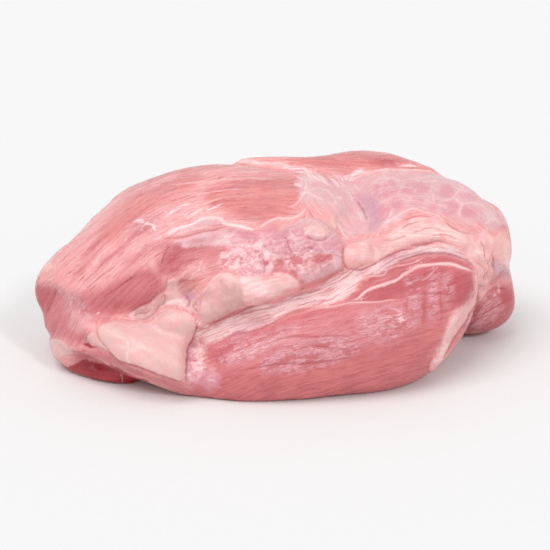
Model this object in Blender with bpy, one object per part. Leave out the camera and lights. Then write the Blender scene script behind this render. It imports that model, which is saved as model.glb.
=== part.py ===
"""Boneless pork shoulder, lying on its flat underside. Blender 4.5, metres, +Z up.

The cut is one piece of meat: muscles of their real sizes, laid where they lie in the shoulder, grown
together, then carved with the seams between them, the fat on them and the cut faces. X runs along the
length, the side that shows most faces -Y, and the piece rests on Z = 0.
"""

import math

import bmesh
import bpy
import numpy as np
from mathutils import Vector, noise

MM = 0.001
# How finely a spindle is divided round and along, the share of a spine in one step, and the parts of a
# drawn line for each of its points.
SPINDLE_PARTS = (40, 28)
SPINE_STEP = 0.01
LINE_PARTS = 5
# How the muscles grow together, with lengths in millimetres from here on.
VOXEL = 1.7
SMOOTH_SHARE = 0.5
SMOOTHING = 22
LAST_SMOOTHING = 3
TRIANGLES = 10600
BASE_HEIGHT = 0.8
WELD = 0.05
FLESH = (0.52, 0.18, 0.16, 1.0)
FLESH_ROUGHNESS = 0.38

# Muscles: half widths and half heights at even steps along a spine.
MUSCLES = {
    "core": dict(spine=[(-84, 4, 42), (-30, 8, 47), (30, 12, 47), (88, 25, 46)],
                 wide=[54, 66, 68, 46], tall=[40, 46, 46, 38], fullness=0.55),
    "blade": dict(spine=[(-130.5, -4, 35), (-92, -4, 41.5), (-36, 8, 55.5), (44, 16, 57)],
                  wide=[28, 46, 58, 44], tall=[16, 32, 45.5, 41], fullness=0.5),
    "cap": dict(spine=[(24, 18, 58), (54, 20, 56), (90, 24, 53.5), (131, 28, 50)],
                wide=[40, 53, 53, 40], tall=[30, 38.5, 35, 32.5], fullness=0.53),
    "foreleg": dict(spine=[(-54, -60, 6), (-12, -61, 13), (30, -50, 22), (68, -38, 29), (104, -19, 52)],
                    wide=[15, 20, 28, 30, 21], tall=[15, 22, 29, 33, 23], fullness=0.52),
    "web": dict(spine=[(-80, -40, 30), (-34, -46, 30), (24, -36, 38)], wide=[12, 15, 14],
                tall=[16, 18, 16], fullness=0.6),
    "ridge": dict(spine=[(-23, 38, 94.5), (18, 44, 90), (58, 46, 90), (93, 44, 83.5)], wide=[9, 14, 20, 12],
                  tall=[5, 6, 8, 6], fullness=0.4),
    "rear": dict(spine=[(-78, 38, 48), (-14, 50, 56), (48, 54, 58), (106, 44, 50)], wide=[22, 27, 27, 22],
                 tall=[26, 33, 33, 26], fullness=0.5),
    "under": dict(spine=[(-92, 4, 20), (-30, 2, 18), (30, 4, 18), (84, 10, 20)], wide=[30, 52, 54, 26],
                  tall=[18, 22, 22, 18], fullness=0.5),
    "end": dict(spine=[(88, 18, 22), (134, 23, 26)], wide=[27, 24], tall=[25, 23], fullness=0.5),
    "inner": dict(spine=[(-117, -17, 13), (-94, -36, 6), (-69, -53, 4)], wide=[16, 15, 11],
                  tall=[13, 10, 7], fullness=0.45),
    "brisket": dict(spine=[(-122, -18, 27), (-92, -39, 26), (-62, -57, 18), (-30, -63, 7)],
                    wide=[18, 21, 18, 15], tall=[14, 13, 13, 14], fullness=0.5),
}

# Flat cuts, made with a knife: a point on each and the way it faces.
CUTS = [((-116, -36, 20), (-0.74, -0.64, 0.14)), ((135, 20, 40), (1.0, 0.0, 0.1))]
# The share of the flesh past a cut that still stands out from it.
CUT_LEFT_OVER = 0.12

# Marks on the surface are drawn as seen from one side, looked at from far enough away that near and
# far parts keep their sizes: millimetres to the right, and up, in a plane through the meat.
SIGHT_DISTANCE = 753.0
SIGHT_TILT = 20.0
AIM = np.array([0.0, 0.0, 42.0])
AIM_UP = 68.5
# Marks fade out where the surface turns away: none under the first share, all over both.
FACING_FROM = 0.06
FACING_RISE = 0.35
SIDES = {"front": 0.0, "right": 90.0, "back": 180.0, "left": 270.0}

# Seams and folds: how deep, how wide, and how much higher the flesh stands on the left of the line. The
# step is full this far from the line, and reaches this many widths. Seams fade over a share at each end.
STEP_WIDTH = 2.2
STEP_REACH = 3.0
END_FADE = 0.15
SEAMS = {
    "front": [
        dict(line=[(-52, 33), (-36, 41), (-20, 47), (-7, 52), (10, 57), (28, 65), (40, 74)], deep=3.8,
             wide=4.5, step=2.2),
        dict(line=[(-66, 97), (-47, 98), (-31, 99), (-14, 91), (-5, 85)], deep=0.8, wide=4, step=1.6),
        dict(line=[(88, 123), (68, 126), (52, 123), (39, 121), (20, 125), (-18, 131)], deep=1.5, wide=4,
             step=-1.8),
        dict(line=[(39, 66), (52, 73), (66, 79), (81, 85), (94, 86), (104, 81), (111, 74)], deep=1.8,
             wide=3.5, step=1.2),
        dict(line=[(120, 66), (113, 58), (106, 47), (98, 34), (90, 20)], deep=3.5, wide=4.0, step=-1.0),
        dict(line=[(133, 60), (123, 64), (116, 59)], deep=2.5, wide=3.5),
        dict(line=[(-132, 64), (-120, 62), (-110, 55), (-99, 46)], deep=0.0, wide=3, step=1.6),
        dict(line=[(-109, 29), (-104, 31), (-99, 30), (-92, 26)], deep=4.0, wide=2.5, step=1.0),
        dict(line=[(-119, 17), (-107, 21.5), (-98, 20.5), (-90, 19), (-84, 16.3), (-77, 13.8), (-71, 10.5),
                   (-62, 7)], deep=4.5, wide=2.6, step=2.6),
        dict(line=[(40, 108), (47, 99), (54, 90)], deep=4.0, wide=12),
        dict(line=[(50, 117), (43, 110), (38, 98), (40, 86)], deep=1.5, wide=5),
        dict(line=[(-2, 88), (3, 97), (10, 104), (14, 117)], deep=1.2, wide=4),
        dict(line=[(-49, 12), (-49, 24), (-47, 33)], deep=2.2, wide=3.0, step=1.0),
        dict(line=[(-96, 44), (-78, 49), (-62, 55), (-50, 66)], deep=2.0, wide=6),
    ],
    "back": [
        dict(line=[(-112, 72), (-60, 92), (0, 100), (60, 96), (106, 78)], deep=3.0, wide=5, step=1.5),
        dict(line=[(-100, 40), (-50, 66), (10, 62), (64, 40)], deep=4.0, wide=6, step=-1.5),
        dict(line=[(64, 92), (76, 70), (96, 48), (110, 36)], deep=2.5, wide=5, step=1.0),
    ],
    "left": [
        dict(line=[(-66, 36), (-50, 54), (-34, 64), (-16, 66)], deep=2.5, wide=5, step=1.0),
        dict(line=[(-54, 22), (-30, 40), (-8, 44), (10, 30)], deep=2.0, wide=4),
    ],
    "right": [
        dict(line=[(18, 56), (34, 62), (54, 58), (70, 44)], deep=2.5, wide=5, step=1.2),
        dict(line=[(8, 30), (30, 40), (54, 30)], deep=2.0, wide=4),
    ],
}
# Fat and other raised parts with an outline: how high, and how wide the slope at the edge is.
PADS = {
    "front": [
        dict(line=[(-97, 41), (-89, 43), (-77, 41), (-67, 43), (-61, 47), (-55, 49), (-48, 48), (-43, 43),
                   (-46, 37), (-49, 32), (-50, 24), (-49, 16), (-53, 10), (-61, 13), (-71, 17), (-81, 22),
                   (-89, 30), (-95, 35)], high=3.2, edge=3.0),
        dict(line=[(-31, 67), (-22, 67), (-15, 64), (-7, 60), (-2, 58), (-8, 53), (-18, 50), (-26, 45),
                   (-37, 42), (-41, 47), (-41, 55), (-37, 62)], high=2.6, edge=5.0),
        dict(line=[(-5, 77), (-1, 84), (10, 92), (21, 99), (30, 93), (37, 84), (37, 73), (28, 66), (15, 62),
                   (6, 61), (-2, 67)], high=2.6, edge=6.0),
        dict(line=[(38, 83), (44, 88), (51, 85), (48, 76), (42, 70), (38, 75)], high=3.0, edge=4.0),
        dict(line=[(72, 87), (88, 90), (102, 90), (114, 82), (121, 70), (117, 60), (112, 60), (111, 72),
                   (103, 81), (90, 86)], high=1.8, edge=4.0),
    ],
    "back": [
        dict(line=[(-78, 22), (-40, 12), (20, 16), (60, 24), (66, 36), (20, 54), (-30, 56), (-70, 40)],
             high=2.5, edge=5.0),
    ],
    "left": [],
    "right": [],
}
# Round swellings and hollows: centre, half sizes, turn in degrees, height. They end at this many half sizes.
BUMP_REACH = 1.6
BUMPS = {
    "front": [
        ((23, 92), (6, 3.5), 0, 1.8), ((-127, 74), (4, 4), 0, 1.2), ((-112, 27), (9, 6), -40, 2.0),
        ((117, 79), (5, 4), 0, 1.2), ((117, 69), (4, 5), 0, 1.2), ((-40, 12), (7, 6), 0, 1.2),
        ((4, 54), (7, 3), 30, 1.6), ((20, 61), (6, 3), 35, 1.2), ((-24, 82), (14, 7), -20, -1.5),
        ((60, 93), (12, 6), 10, 1.5), ((-62, 74), (24, 7), 28, -1.5),
    ],
    "back": [((-20, 80), (40, 14), 5, 2.0), ((80, 60), (24, 14), 60, 2.0)],
    "left": [((-24, 56), (14, 8), 20, 1.5)],
    "right": [((40, 80), (18, 9), 0, 1.5)],
}
# Lumps all over: size and height, in millimetres.
LUMPS = [(26.0, 1.1), (11.0, 0.45)]


def smooth_step(t):
    t = np.clip(t, 0.0, 1.0)
    return t * t * (3.0 - 2.0 * t)


def along(values, t):
    """The value at share t of a smooth line through evenly spaced values (Catmull-Rom)."""
    points = np.array(values, float)
    points = np.concatenate([[2 * points[0] - points[1]], points, [2 * points[-1] - points[-2]]])
    place = min(max(t, 0.0), 1.0) * (len(points) - 3)
    i = min(int(place), len(points) - 4)
    u = place - i
    a, b, c, d = points[i : i + 4]
    return 0.5 * (2 * b + (c - a) * u + (2 * a - 5 * b + 4 * c - d) * u**2 + (3 * b - a - 3 * c + d) * u**3)


def muscle(shape, spine, wide, tall, fullness):
    """Adds a closed spindle along a curved spine. A lower fullness gives blunter ends."""
    made = bmesh.ops.create_uvsphere(shape, u_segments=SPINDLE_PARTS[0], v_segments=SPINDLE_PARTS[1],
                                     radius=1.0)
    for vertex in made["verts"]:
        x, y, z = vertex.co
        t = (z + 1.0) / 2.0
        ahead = along(spine, t + SPINE_STEP) - along(spine, t - SPINE_STEP)
        ahead /= np.linalg.norm(ahead)
        side = np.cross(ahead, (0.0, 0.0, 1.0))
        side /= np.linalg.norm(side)
        up = np.cross(side, ahead)
        ring = math.hypot(x, y)
        fuller = ring**fullness / ring if ring > 1e-6 else 0.0
        place = along(spine, t) + side * x * fuller * along(wide, t) + up * y * fuller * along(tall, t)
        vertex.co = Vector(place)


def seen(co, turn):
    """How far right and up each place is seen from a side, and the directions to the eye."""
    turn, tilt = math.radians(turn), math.radians(SIGHT_TILT)
    back = np.array([math.sin(turn) * math.cos(tilt), -math.cos(turn) * math.cos(tilt), math.sin(tilt)])
    right = np.array([math.cos(turn), math.sin(turn), 0.0])
    to_eye = AIM + back * SIGHT_DISTANCE - co
    scale = SIGHT_DISTANCE / (to_eye @ back)
    flat = np.stack([(co - AIM) @ right * scale, (co - AIM) @ np.cross(back, right) * scale + AIM_UP], 1)
    return flat, to_eye / np.linalg.norm(to_eye, axis=1)[:, None]


def smooth_line(line, closed=False):
    steps = len(line) * LINE_PARTS
    if closed:
        ring = line[-3:] + line + line[:3]
        low, high = 3 / (len(ring) - 1), (3 + len(line)) / (len(ring) - 1)
        return np.array([along(ring, low + (high - low) * i / steps) for i in range(steps + 1)])
    return np.array([along(line, i / steps) for i in range(steps + 1)])


def to_line(flat, dots):
    """Distance to a line of dots, above zero on its left, and the share of the line at that place."""
    ahead = np.gradient(dots, axis=0)
    best = np.full(len(flat), 1e9)
    side = np.zeros(len(flat))
    share = np.zeros(len(flat))
    for i, (a, b) in enumerate(zip(dots[:-1], dots[1:])):
        part = np.clip((flat - a) @ (b - a) / ((b - a) @ (b - a)), 0.0, 1.0)[:, None]
        off = flat - a - part * (b - a)
        way = ahead[i] * (1.0 - part) + ahead[i + 1] * part
        distance = np.hypot(off[:, 0], off[:, 1])
        nearer = distance < best
        best[nearer] = distance[nearer]
        side[nearer] = np.sign(way[nearer, 0] * off[nearer, 1] - way[nearer, 1] * off[nearer, 0])
        share[nearer] = (i + part[nearer, 0]) / (len(dots) - 1)
    return best, side, share


def seam(flat, line, deep, wide, step=0.0):
    distance, side, share = to_line(flat, smooth_line(line))
    ends = smooth_step(share / END_FADE) * smooth_step((1.0 - share) / END_FADE)
    groove = -deep * np.exp(-((distance / wide) ** 2))
    ledge = step * side * np.tanh(distance / STEP_WIDTH) * np.exp(-((distance / (STEP_REACH * wide)) ** 2))
    return (groove + ledge) * ends


def inside(flat, line):
    """How far inside a closed outline each place is, negative outside."""
    dots = smooth_line(line, closed=True)
    distance = to_line(flat, dots)[0]
    within = np.zeros(len(flat), bool)
    for (ax, ay), (bx, by) in zip(dots[:-1], dots[1:]):
        if ay != by:
            level = (flat[:, 1] > ay) != (flat[:, 1] > by)
            within ^= level & (flat[:, 0] < (bx - ax) * (flat[:, 1] - ay) / (by - ay) + ax)
    return np.where(within, distance, -distance)


def pad(flat, line, high, edge):
    return high * smooth_step(inside(flat, line) / edge + 0.5)


def bump(flat, centre, sizes, turn, high):
    turn = math.radians(turn)
    off = flat - np.array(centre, float)
    x = (off[:, 0] * math.cos(turn) + off[:, 1] * math.sin(turn)) / sizes[0]
    y = (off[:, 1] * math.cos(turn) - off[:, 0] * math.sin(turn)) / sizes[1]
    return high * smooth_step(BUMP_REACH - np.hypot(x, y))


def normals(mesh):
    out = np.empty(len(mesh.vertices) * 3)
    mesh.vertices.foreach_get("normal", out)
    return out.reshape(-1, 3)


def places(mesh):
    out = np.empty(len(mesh.vertices) * 3)
    mesh.vertices.foreach_get("co", out)
    return out.reshape(-1, 3)


def put(mesh, co):
    mesh.vertices.foreach_set("co", co.ravel())
    mesh.update()


def carve(mesh):
    """Cuts the flat faces, then works in the seams, the fat and the lumps, side by side."""
    co = places(mesh)
    for point, facing in CUTS:
        facing = np.array(facing) / np.linalg.norm(facing)
        past = np.maximum((co - np.array(point)) @ facing, 0.0)
        co -= (1.0 - CUT_LEFT_OVER) * past[:, None] * facing
    put(mesh, co)
    out = normals(mesh)
    height = np.zeros(len(co))
    for side, turn in SIDES.items():
        flat, to_eye = seen(co, turn)
        facing = smooth_step((np.sum(out * to_eye, axis=1) - FACING_FROM) / FACING_RISE)
        drawn = np.zeros(len(co))
        for mark in SEAMS[side]:
            drawn += seam(flat, **mark)
        for mark in PADS[side]:
            drawn += pad(flat, **mark)
        for mark in BUMPS[side]:
            drawn += bump(flat, *mark)
        height += drawn * facing
    for size, high in LUMPS:
        height += [noise.noise(Vector(place / size)) * high for place in co]
    put(mesh, co + out * height[:, None])


def settle(mesh):
    """Turns what is under the flat base, or just over it, into one flat face at Z = 0."""
    shape = bmesh.new()
    shape.from_mesh(mesh)
    bmesh.ops.bisect_plane(shape, geom=shape.verts[:] + shape.edges[:] + shape.faces[:],
                           plane_co=(0, 0, BASE_HEIGHT), plane_no=(0, 0, -1), clear_outer=True)
    bmesh.ops.edgeloop_fill(shape, edges=[edge for edge in shape.edges if edge.is_boundary])
    low, high = [[f(vertex.co[i] for vertex in shape.verts) for i in range(3)] for f in (min, max)]
    middle = Vector(((low[0] + high[0]) / 2, (low[1] + high[1]) / 2, BASE_HEIGHT))
    for vertex in shape.verts:
        vertex.co = (vertex.co - middle) * MM
        if vertex.co.z < WELD * MM:
            vertex.co.z = 0.0
    bmesh.ops.remove_doubles(shape, verts=shape.verts, dist=WELD * MM)
    bmesh.ops.triangulate(shape, faces=shape.faces[:])
    bmesh.ops.recalc_face_normals(shape, faces=shape.faces[:])
    shape.to_mesh(mesh)
    shape.free()


def applied(obj, kind, **settings):
    """Runs one modifier on the object's mesh and keeps the outcome."""
    modifier = obj.modifiers.new(kind, kind)
    for name, value in settings.items():
        setattr(modifier, name, value)
    graph = bpy.context.evaluated_depsgraph_get()
    obj.data = bpy.data.meshes.new_from_object(obj.evaluated_get(graph))
    obj.modifiers.clear()


def finish():
    """Raw pink flesh, moist."""
    material = bpy.data.materials.new("raw_pork")
    material.use_nodes = True
    surface = material.node_tree.nodes["Principled BSDF"]
    surface.inputs["Base Color"].default_value = FLESH
    surface.inputs["Roughness"].default_value = FLESH_ROUGHNESS
    surface.inputs["Metallic"].default_value = 0.0
    return material


def main():
    for old in list(bpy.data.objects):
        bpy.data.objects.remove(old)
    shape = bmesh.new()
    for sizes in MUSCLES.values():
        muscle(shape, **sizes)
    bmesh.ops.recalc_face_normals(shape, faces=shape.faces)
    mesh = bpy.data.meshes.new("pork_shoulder")
    shape.to_mesh(mesh)
    shape.free()
    obj = bpy.data.objects.new("pork_shoulder", mesh)
    bpy.context.scene.collection.objects.link(obj)
    applied(obj, "REMESH", mode="VOXEL", voxel_size=VOXEL)
    applied(obj, "SMOOTH", factor=SMOOTH_SHARE, iterations=SMOOTHING)
    carve(obj.data)
    applied(obj, "SMOOTH", factor=SMOOTH_SHARE, iterations=LAST_SMOOTHING)
    applied(obj, "TRIANGULATE")
    applied(obj, "DECIMATE", ratio=TRIANGLES / len(obj.data.polygons))
    settle(obj.data)
    obj.data.name = "pork_shoulder"
    obj.data.materials.append(finish())
    obj.data.shade_smooth()


main()
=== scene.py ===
"""Boneless pork shoulder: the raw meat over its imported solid, on a pale studio floor. Blender 4.5.

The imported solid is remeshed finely, the fat, membranes, seams and fibres are worked into it as relief, and
each kind of tissue is written on the mesh, where one material reads it. Tissues are drawn in millimetres as
seen from one side, in the same sight planes as the solid's own seams.
"""

import math

import bmesh
import bpy
import numpy as np
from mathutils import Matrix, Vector, noise


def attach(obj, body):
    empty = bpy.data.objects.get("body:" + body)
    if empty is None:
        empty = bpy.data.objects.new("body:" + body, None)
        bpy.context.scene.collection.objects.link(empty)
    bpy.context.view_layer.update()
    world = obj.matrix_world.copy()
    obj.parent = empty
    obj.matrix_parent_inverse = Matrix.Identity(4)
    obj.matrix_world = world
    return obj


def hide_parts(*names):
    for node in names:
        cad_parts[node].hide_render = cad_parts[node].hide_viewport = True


bl_info = {
    "name": "Boneless Pork Shoulder",
    "version": (1, 0, 0),
    "blender": (4, 5, 0),
    "location": "View3D > Sidebar > Meat",
    "description": "Builds a raw boneless pork shoulder and its studio",
    "category": "Mesh",
}

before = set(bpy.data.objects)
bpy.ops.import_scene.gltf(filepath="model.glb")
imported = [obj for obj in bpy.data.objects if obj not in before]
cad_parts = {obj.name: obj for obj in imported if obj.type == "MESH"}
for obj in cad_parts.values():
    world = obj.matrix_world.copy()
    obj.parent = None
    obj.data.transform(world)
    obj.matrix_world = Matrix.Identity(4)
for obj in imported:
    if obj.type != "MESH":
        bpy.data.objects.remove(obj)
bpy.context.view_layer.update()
NODE = "pork_shoulder"
MM = 0.001

# Lengths are in millimetres. The eye looks from this far away and this many degrees down, at the aim. Marks
# are measured in a plane through the aim, to the right and up from a level that is AIM_UP under it.
SIGHT_DISTANCE = 753.0
SIGHT_TILT = 20.0
AIM = np.array([-2.3, -2.09, 41.2])
AIM_UP = 68.5
# The picture is this wide at the aim.
PICTURE_WIDTH = 301.4
SENSOR_WIDTH = 36.0
# Each side's turn round the meat, in degrees.
SIDES = {"front": 0.0, "right": 90.0, "back": 180.0, "left": 270.0}
# A mark fades where the surface turns away from its side, by this much depth for each share that it turns.
# The other sides' marks keep off what the front sees this well.
FACING_DEPTH = 36.0
FRONT_FROM = 0.2
# Depths in a tissue are kept between minus and plus REACH. A small mark's middle is this deep, and the mesh
# is finer out to this share of the mark's size past its edge.
REACH = 9.0
SPOT_DEPTH = 3.0
SPOT_MARGIN = 0.5
# Each stretch of a drawn line is split into this many.
STEPS_EACH = 4
# A line is looked for this near and drawn this near, and it thins out over this share of its length at each
# end. Its ridge or groove is this many half widths wide, and this much more.
LINE_REACH = 5.0
LINE_DRAWN = 3.0
LINE_TAPER = 0.12
RIDGE_SPREAD = 1.3
RIDGE_LEAST = 0.5
# The half width where no line is near.
NO_LINE = -1.0
# A swelling starts this far out, as a share of its size.
BUMP_SKIRT = 0.4

# Sheets of fat, opaque and pale.
FAT = {
    "flap": ("front", [
        (-96.5, 40), (-90, 42.5), (-80.5, 43), (-69.5, 41.8), (-64, 46.5), (-58.5, 49.3), (-50.5, 48.6),
        (-45, 45.8), (-43.3, 41), (-45.6, 34.3), (-48.4, 28.8), (-49, 22), (-49.7, 13), (-52.5, 10.7),
        (-61.4, 13.7), (-75, 18.5), (-84.7, 21.9), (-90.2, 27.4), (-95, 33.6)]),
    "corner": ("front", [
        (-123.3, 32.4), (-121, 33.5), (-116.7, 32.9), (-113.5, 29.6), (-110.2, 27), (-112.4, 24.7),
        (-116.2, 23.6), (-119.5, 22), (-121.7, 26.4)]),
    "neck": ("front", [
        (-102.5, 35.7), (-99.2, 37), (-94.8, 31.3), (-90.4, 26.4), (-95.9, 29.6), (-101.9, 32.4)]),
    "oval": ("front", [
        (16.2, 91.2), (17.5, 94.6), (22, 96.3), (27, 94.8), (30, 91.6), (27, 89.2), (22.5, 88.8),
        (18, 89.6)]),
    "seed": ("front", [(30.4, 99.5), (32.3, 100), (34, 96.5), (33.4, 93.6), (31.5, 95.5)]),
}
# Softer fat that thins out into the flesh round it.
TALLOW = {
    "strands": ("front", [
        (-20, 66), (-12, 69), (-4, 68), (2, 70), (9, 68.5), (14, 64), (11, 59), (2, 56.5), (-6, 53.5),
        (-12, 52), (-17, 53.5), (-18, 60)]),
    "shoulder_fat": ("front", [
        (38.5, 84), (44, 87.5), (53, 89), (60, 90.5), (65, 93.5), (70, 97.5), (76, 101), (83, 101.5),
        (90, 99), (98, 95), (105, 93.6), (110, 90.6), (114.6, 94), (119, 90), (124, 92.6), (130, 87),
        (134, 82), (131, 73), (124, 74), (119.5, 78), (119, 70), (117, 61), (114, 54), (110.5, 53),
        (110.5, 62), (109, 72), (105, 79), (98, 84.5), (90, 86), (80, 85.5), (72, 83.5), (62, 79), (53, 75),
        (44, 72.5), (38.5, 74.5)]),
    "end_strip": ("front", [
        (108.3, 70), (108.6, 59.2), (105.8, 53.7), (101.4, 51), (98, 49), (95, 43), (92, 35), (88, 26),
        (84, 17), (88, 17), (92, 23), (96.5, 30), (99.7, 35.6), (103.6, 41), (106.9, 47), (109.9, 52),
        (111, 60), (111, 70)]),
    "back_sheet": ("back", [
        (-74, 20), (-70, 30), (-60, 35), (-53, 45), (-38, 47), (-30, 54), (-12, 55), (0, 50), (13, 54),
        (26, 50), (33, 41), (48, 40), (60, 33), (57, 24), (40, 18), (30, 9), (6, 12), (-8, 6), (-30, 12),
        (-48, 8), (-64, 12)]),
    "back_seam": ("back", [
        (-100, 75), (-84, 85), (-70, 89), (-40, 97), (-20, 100), (-8, 99.6), (-12, 97.4), (-38, 92),
        (-66, 83), (-88, 73), (-98, 69)]),
    "back_seam_right": ("back", [
        (32, 102.4), (60, 99.6), (80, 94.4), (98, 86), (100, 80), (84, 87), (60, 93), (44, 94)]),
    "left_seam": ("left", [(-66, 34), (-50, 52), (-34, 62), (-16, 64), (-18, 58), (-34, 55), (-46, 46)]),
    "right_seam": ("right", [(16, 54), (34, 59), (54, 55), (70, 42), (72, 48), (54, 64), (34, 67), (16, 61)]),
}
# Streaky white connective tissue.
SILK = {
    "seam_band": ("front", [
        (-43, 37.5), (-35.6, 40.5), (-24.7, 46), (-14.2, 50.4), (-8, 52.4), (0, 53.5), (9.9, 57.5),
        (19.7, 60.5), (27, 64), (35, 69), (42, 72.5), (50, 74), (60, 78), (56, 73), (48, 67.5), (43, 60),
        (38, 55.5), (27.4, 52.4), (19.7, 51), (11, 49.6), (6.6, 48), (2.7, 45.8), (-2.7, 42.6), (-11, 39.2),
        (-20.3, 37.6), (-25.2, 36), (-30.7, 32.7), (-38, 31), (-45, 31)]),
    "top_edge": ("front", [
        (-26, 131), (-12, 131.5), (0, 130.4), (12, 128.4), (20, 126), (30, 122.5), (38, 119.5), (34, 117.5),
        (26, 119), (18, 123), (10, 125.8), (-2, 128.4), (-14, 129.6)]),
    "back_tendon": ("back", [
        (80, 46), (92, 54), (103, 66), (110, 80), (112, 92), (107, 88), (101, 74), (92, 63), (78, 53)]),
    "back_band": ("back", [
        (-62, 60), (-34, 68.4), (-6, 69), (22, 62.6), (50, 49.6), (47, 45.4), (20, 56.4), (-8, 62.4),
        (-34, 62.6), (-60, 55)]),
    "leg_sheath": ("front", [
        (48, 70.5), (60.5, 75.5), (68, 79.3), (73.5, 82.7), (80, 84.3), (90, 85), (98, 84.3), (103, 81),
        (108, 77), (110, 72), (106.4, 75.5), (101.3, 78.4), (95.4, 79.9), (90.4, 80.6), (80, 80),
        (74.5, 78.2), (69.5, 76.2), (62, 72.5), (54, 69)]),
}
# Torn flesh in plates and crumbs.
TORN = {
    "tangle": ("front", [
        (-31, 75), (-28, 80), (-22, 85), (-12, 88.5), (-4, 86), (0, 79), (-1, 72), (-7, 68), (-15, 66.5),
        (-21, 70), (-27, 71.5)]),
    "leg_end": ("front", [
        (-47, 31), (-41, 36), (-38, 33), (-38.6, 26), (-37.4, 19), (-42, 12), (-47.6, 12), (-47.4, 22)]),
    "knob_low": ("front", [(5, 81), (14, 82), (21, 79.5), (20, 74), (14, 70.5), (6, 72)]),
}
# Smooth greyish gristle and thick folded skin.
GRISTLE = {
    "lobe": ("front", [
        (-40.8, 46.6), (-40, 57), (-35.3, 64.4), (-31.2, 68.5), (-25.8, 69.9), (-21.6, 67.8), (-18.9, 63),
        (-15, 55), (-17.5, 50.4), (-25.8, 47.4), (-34, 42.8), (-39.5, 41.8)]),
    "fold_skin": ("front", [
        (-81, 45.5), (-75, 51.4), (-69.5, 52.2), (-65.5, 56.2), (-60.3, 60.3), (-58.8, 64.4), (-54.5, 66),
        (-52.5, 60), (-49, 56), (-42.2, 54), (-40.6, 47), (-45, 48), (-50.5, 50.2), (-58.5, 51), (-64.5, 48),
        (-69, 43.5), (-75, 42.5)]),
}
# Thin membranes that the meat shows through.
FILM = {
    "leg_end": ("front", [
        (-45, 38), (-40, 38), (-39, 30), (-39.5, 22), (-40, 16), (-42, 8), (-48.5, 12), (-48, 24),
        (-46, 31)]),
    # Over the ridge fold the membrane's paler colour is partly a painted highlight along the ridge's top.
    "ridge_fold": ("front", [
        (-61, 89.5), (-58.5, 92.5), (-53, 95.2), (-46, 96.6), (-39.5, 99.7), (-31, 100.3), (-27.8, 96.8),
        (-19, 95.4), (-11, 93.2), (-15, 91), (-23, 92.4), (-30, 94.6), (-39.5, 94), (-47.7, 91), (-53, 89)]),
    "leg_patch": ("front", [(-37.6, 14), (-33, 15.4), (-31.4, 12), (-33, 8), (-37, 8.4)]),
    "cap_skin": ("front", [
        (30, 123), (44, 124), (62, 126.2), (84, 125.2), (98, 121.5), (112, 112), (128, 98), (124, 94.6),
        (118, 92.4), (112, 96.4), (106, 95), (97, 98), (88, 102.5), (77, 104), (70, 100), (62, 93.5),
        (50, 91), (42, 88.5), (37, 91), (31, 101), (20, 108), (18, 116)]),
    "fold_low": ("front", [
        (-57, 88), (-47, 90), (-39, 93), (-30, 93.5), (-22, 91.5), (-12, 90), (-5, 92), (-2, 87), (-10, 84),
        (-22, 84), (-36, 84), (-50, 83)]),
    "knob": ("front", [
        (-9, 86), (-2, 92), (7, 95.5), (15, 98.5), (22, 99), (30, 96), (35, 91), (37.5, 84), (37, 78.5),
        (29, 80), (20, 80), (10, 78), (0, 77), (-8, 79)]),
    "end_top": ("front", [(119.5, 76), (124, 75), (131, 73), (132, 70), (126, 70), (121.5, 70)]),
    "lump_row": ("front", [
        (12, 71), (16, 73.5), (21, 74), (26, 75.5), (33, 79), (37.6, 77.5), (36, 72), (29, 67.5), (22, 65.5),
        (14, 64.5)]),
    "blade_join": ("front", [
        (14, 126), (26, 121.5), (36, 119.5), (44, 118), (46, 108), (44, 98), (38, 92), (31, 101), (22, 105),
        (16, 106), (13, 113)]),
    "back_skin": ("back", [
        (-100, 52), (-94, 61), (-84, 70), (-66, 80), (-44, 86), (-26, 84), (-10, 90), (9, 88), (18, 80),
        (10, 75), (14, 69), (-4, 71), (-20, 70), (-40, 73), (-58, 66), (-74, 59), (-88, 50)]),
    "back_top_skin": ("back", [(-30, 122), (-14, 128), (8, 129), (20, 124), (8, 119), (-10, 120)]),
    "left_skin": ("left", [(-50, 20), (-30, 36), (-8, 40), (8, 28), (-6, 18), (-30, 16)]),
    "right_skin": ("right", [(-10, 104), (24, 104), (56, 88), (66, 62), (54, 66), (30, 70), (-4, 84)]),
}
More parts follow.
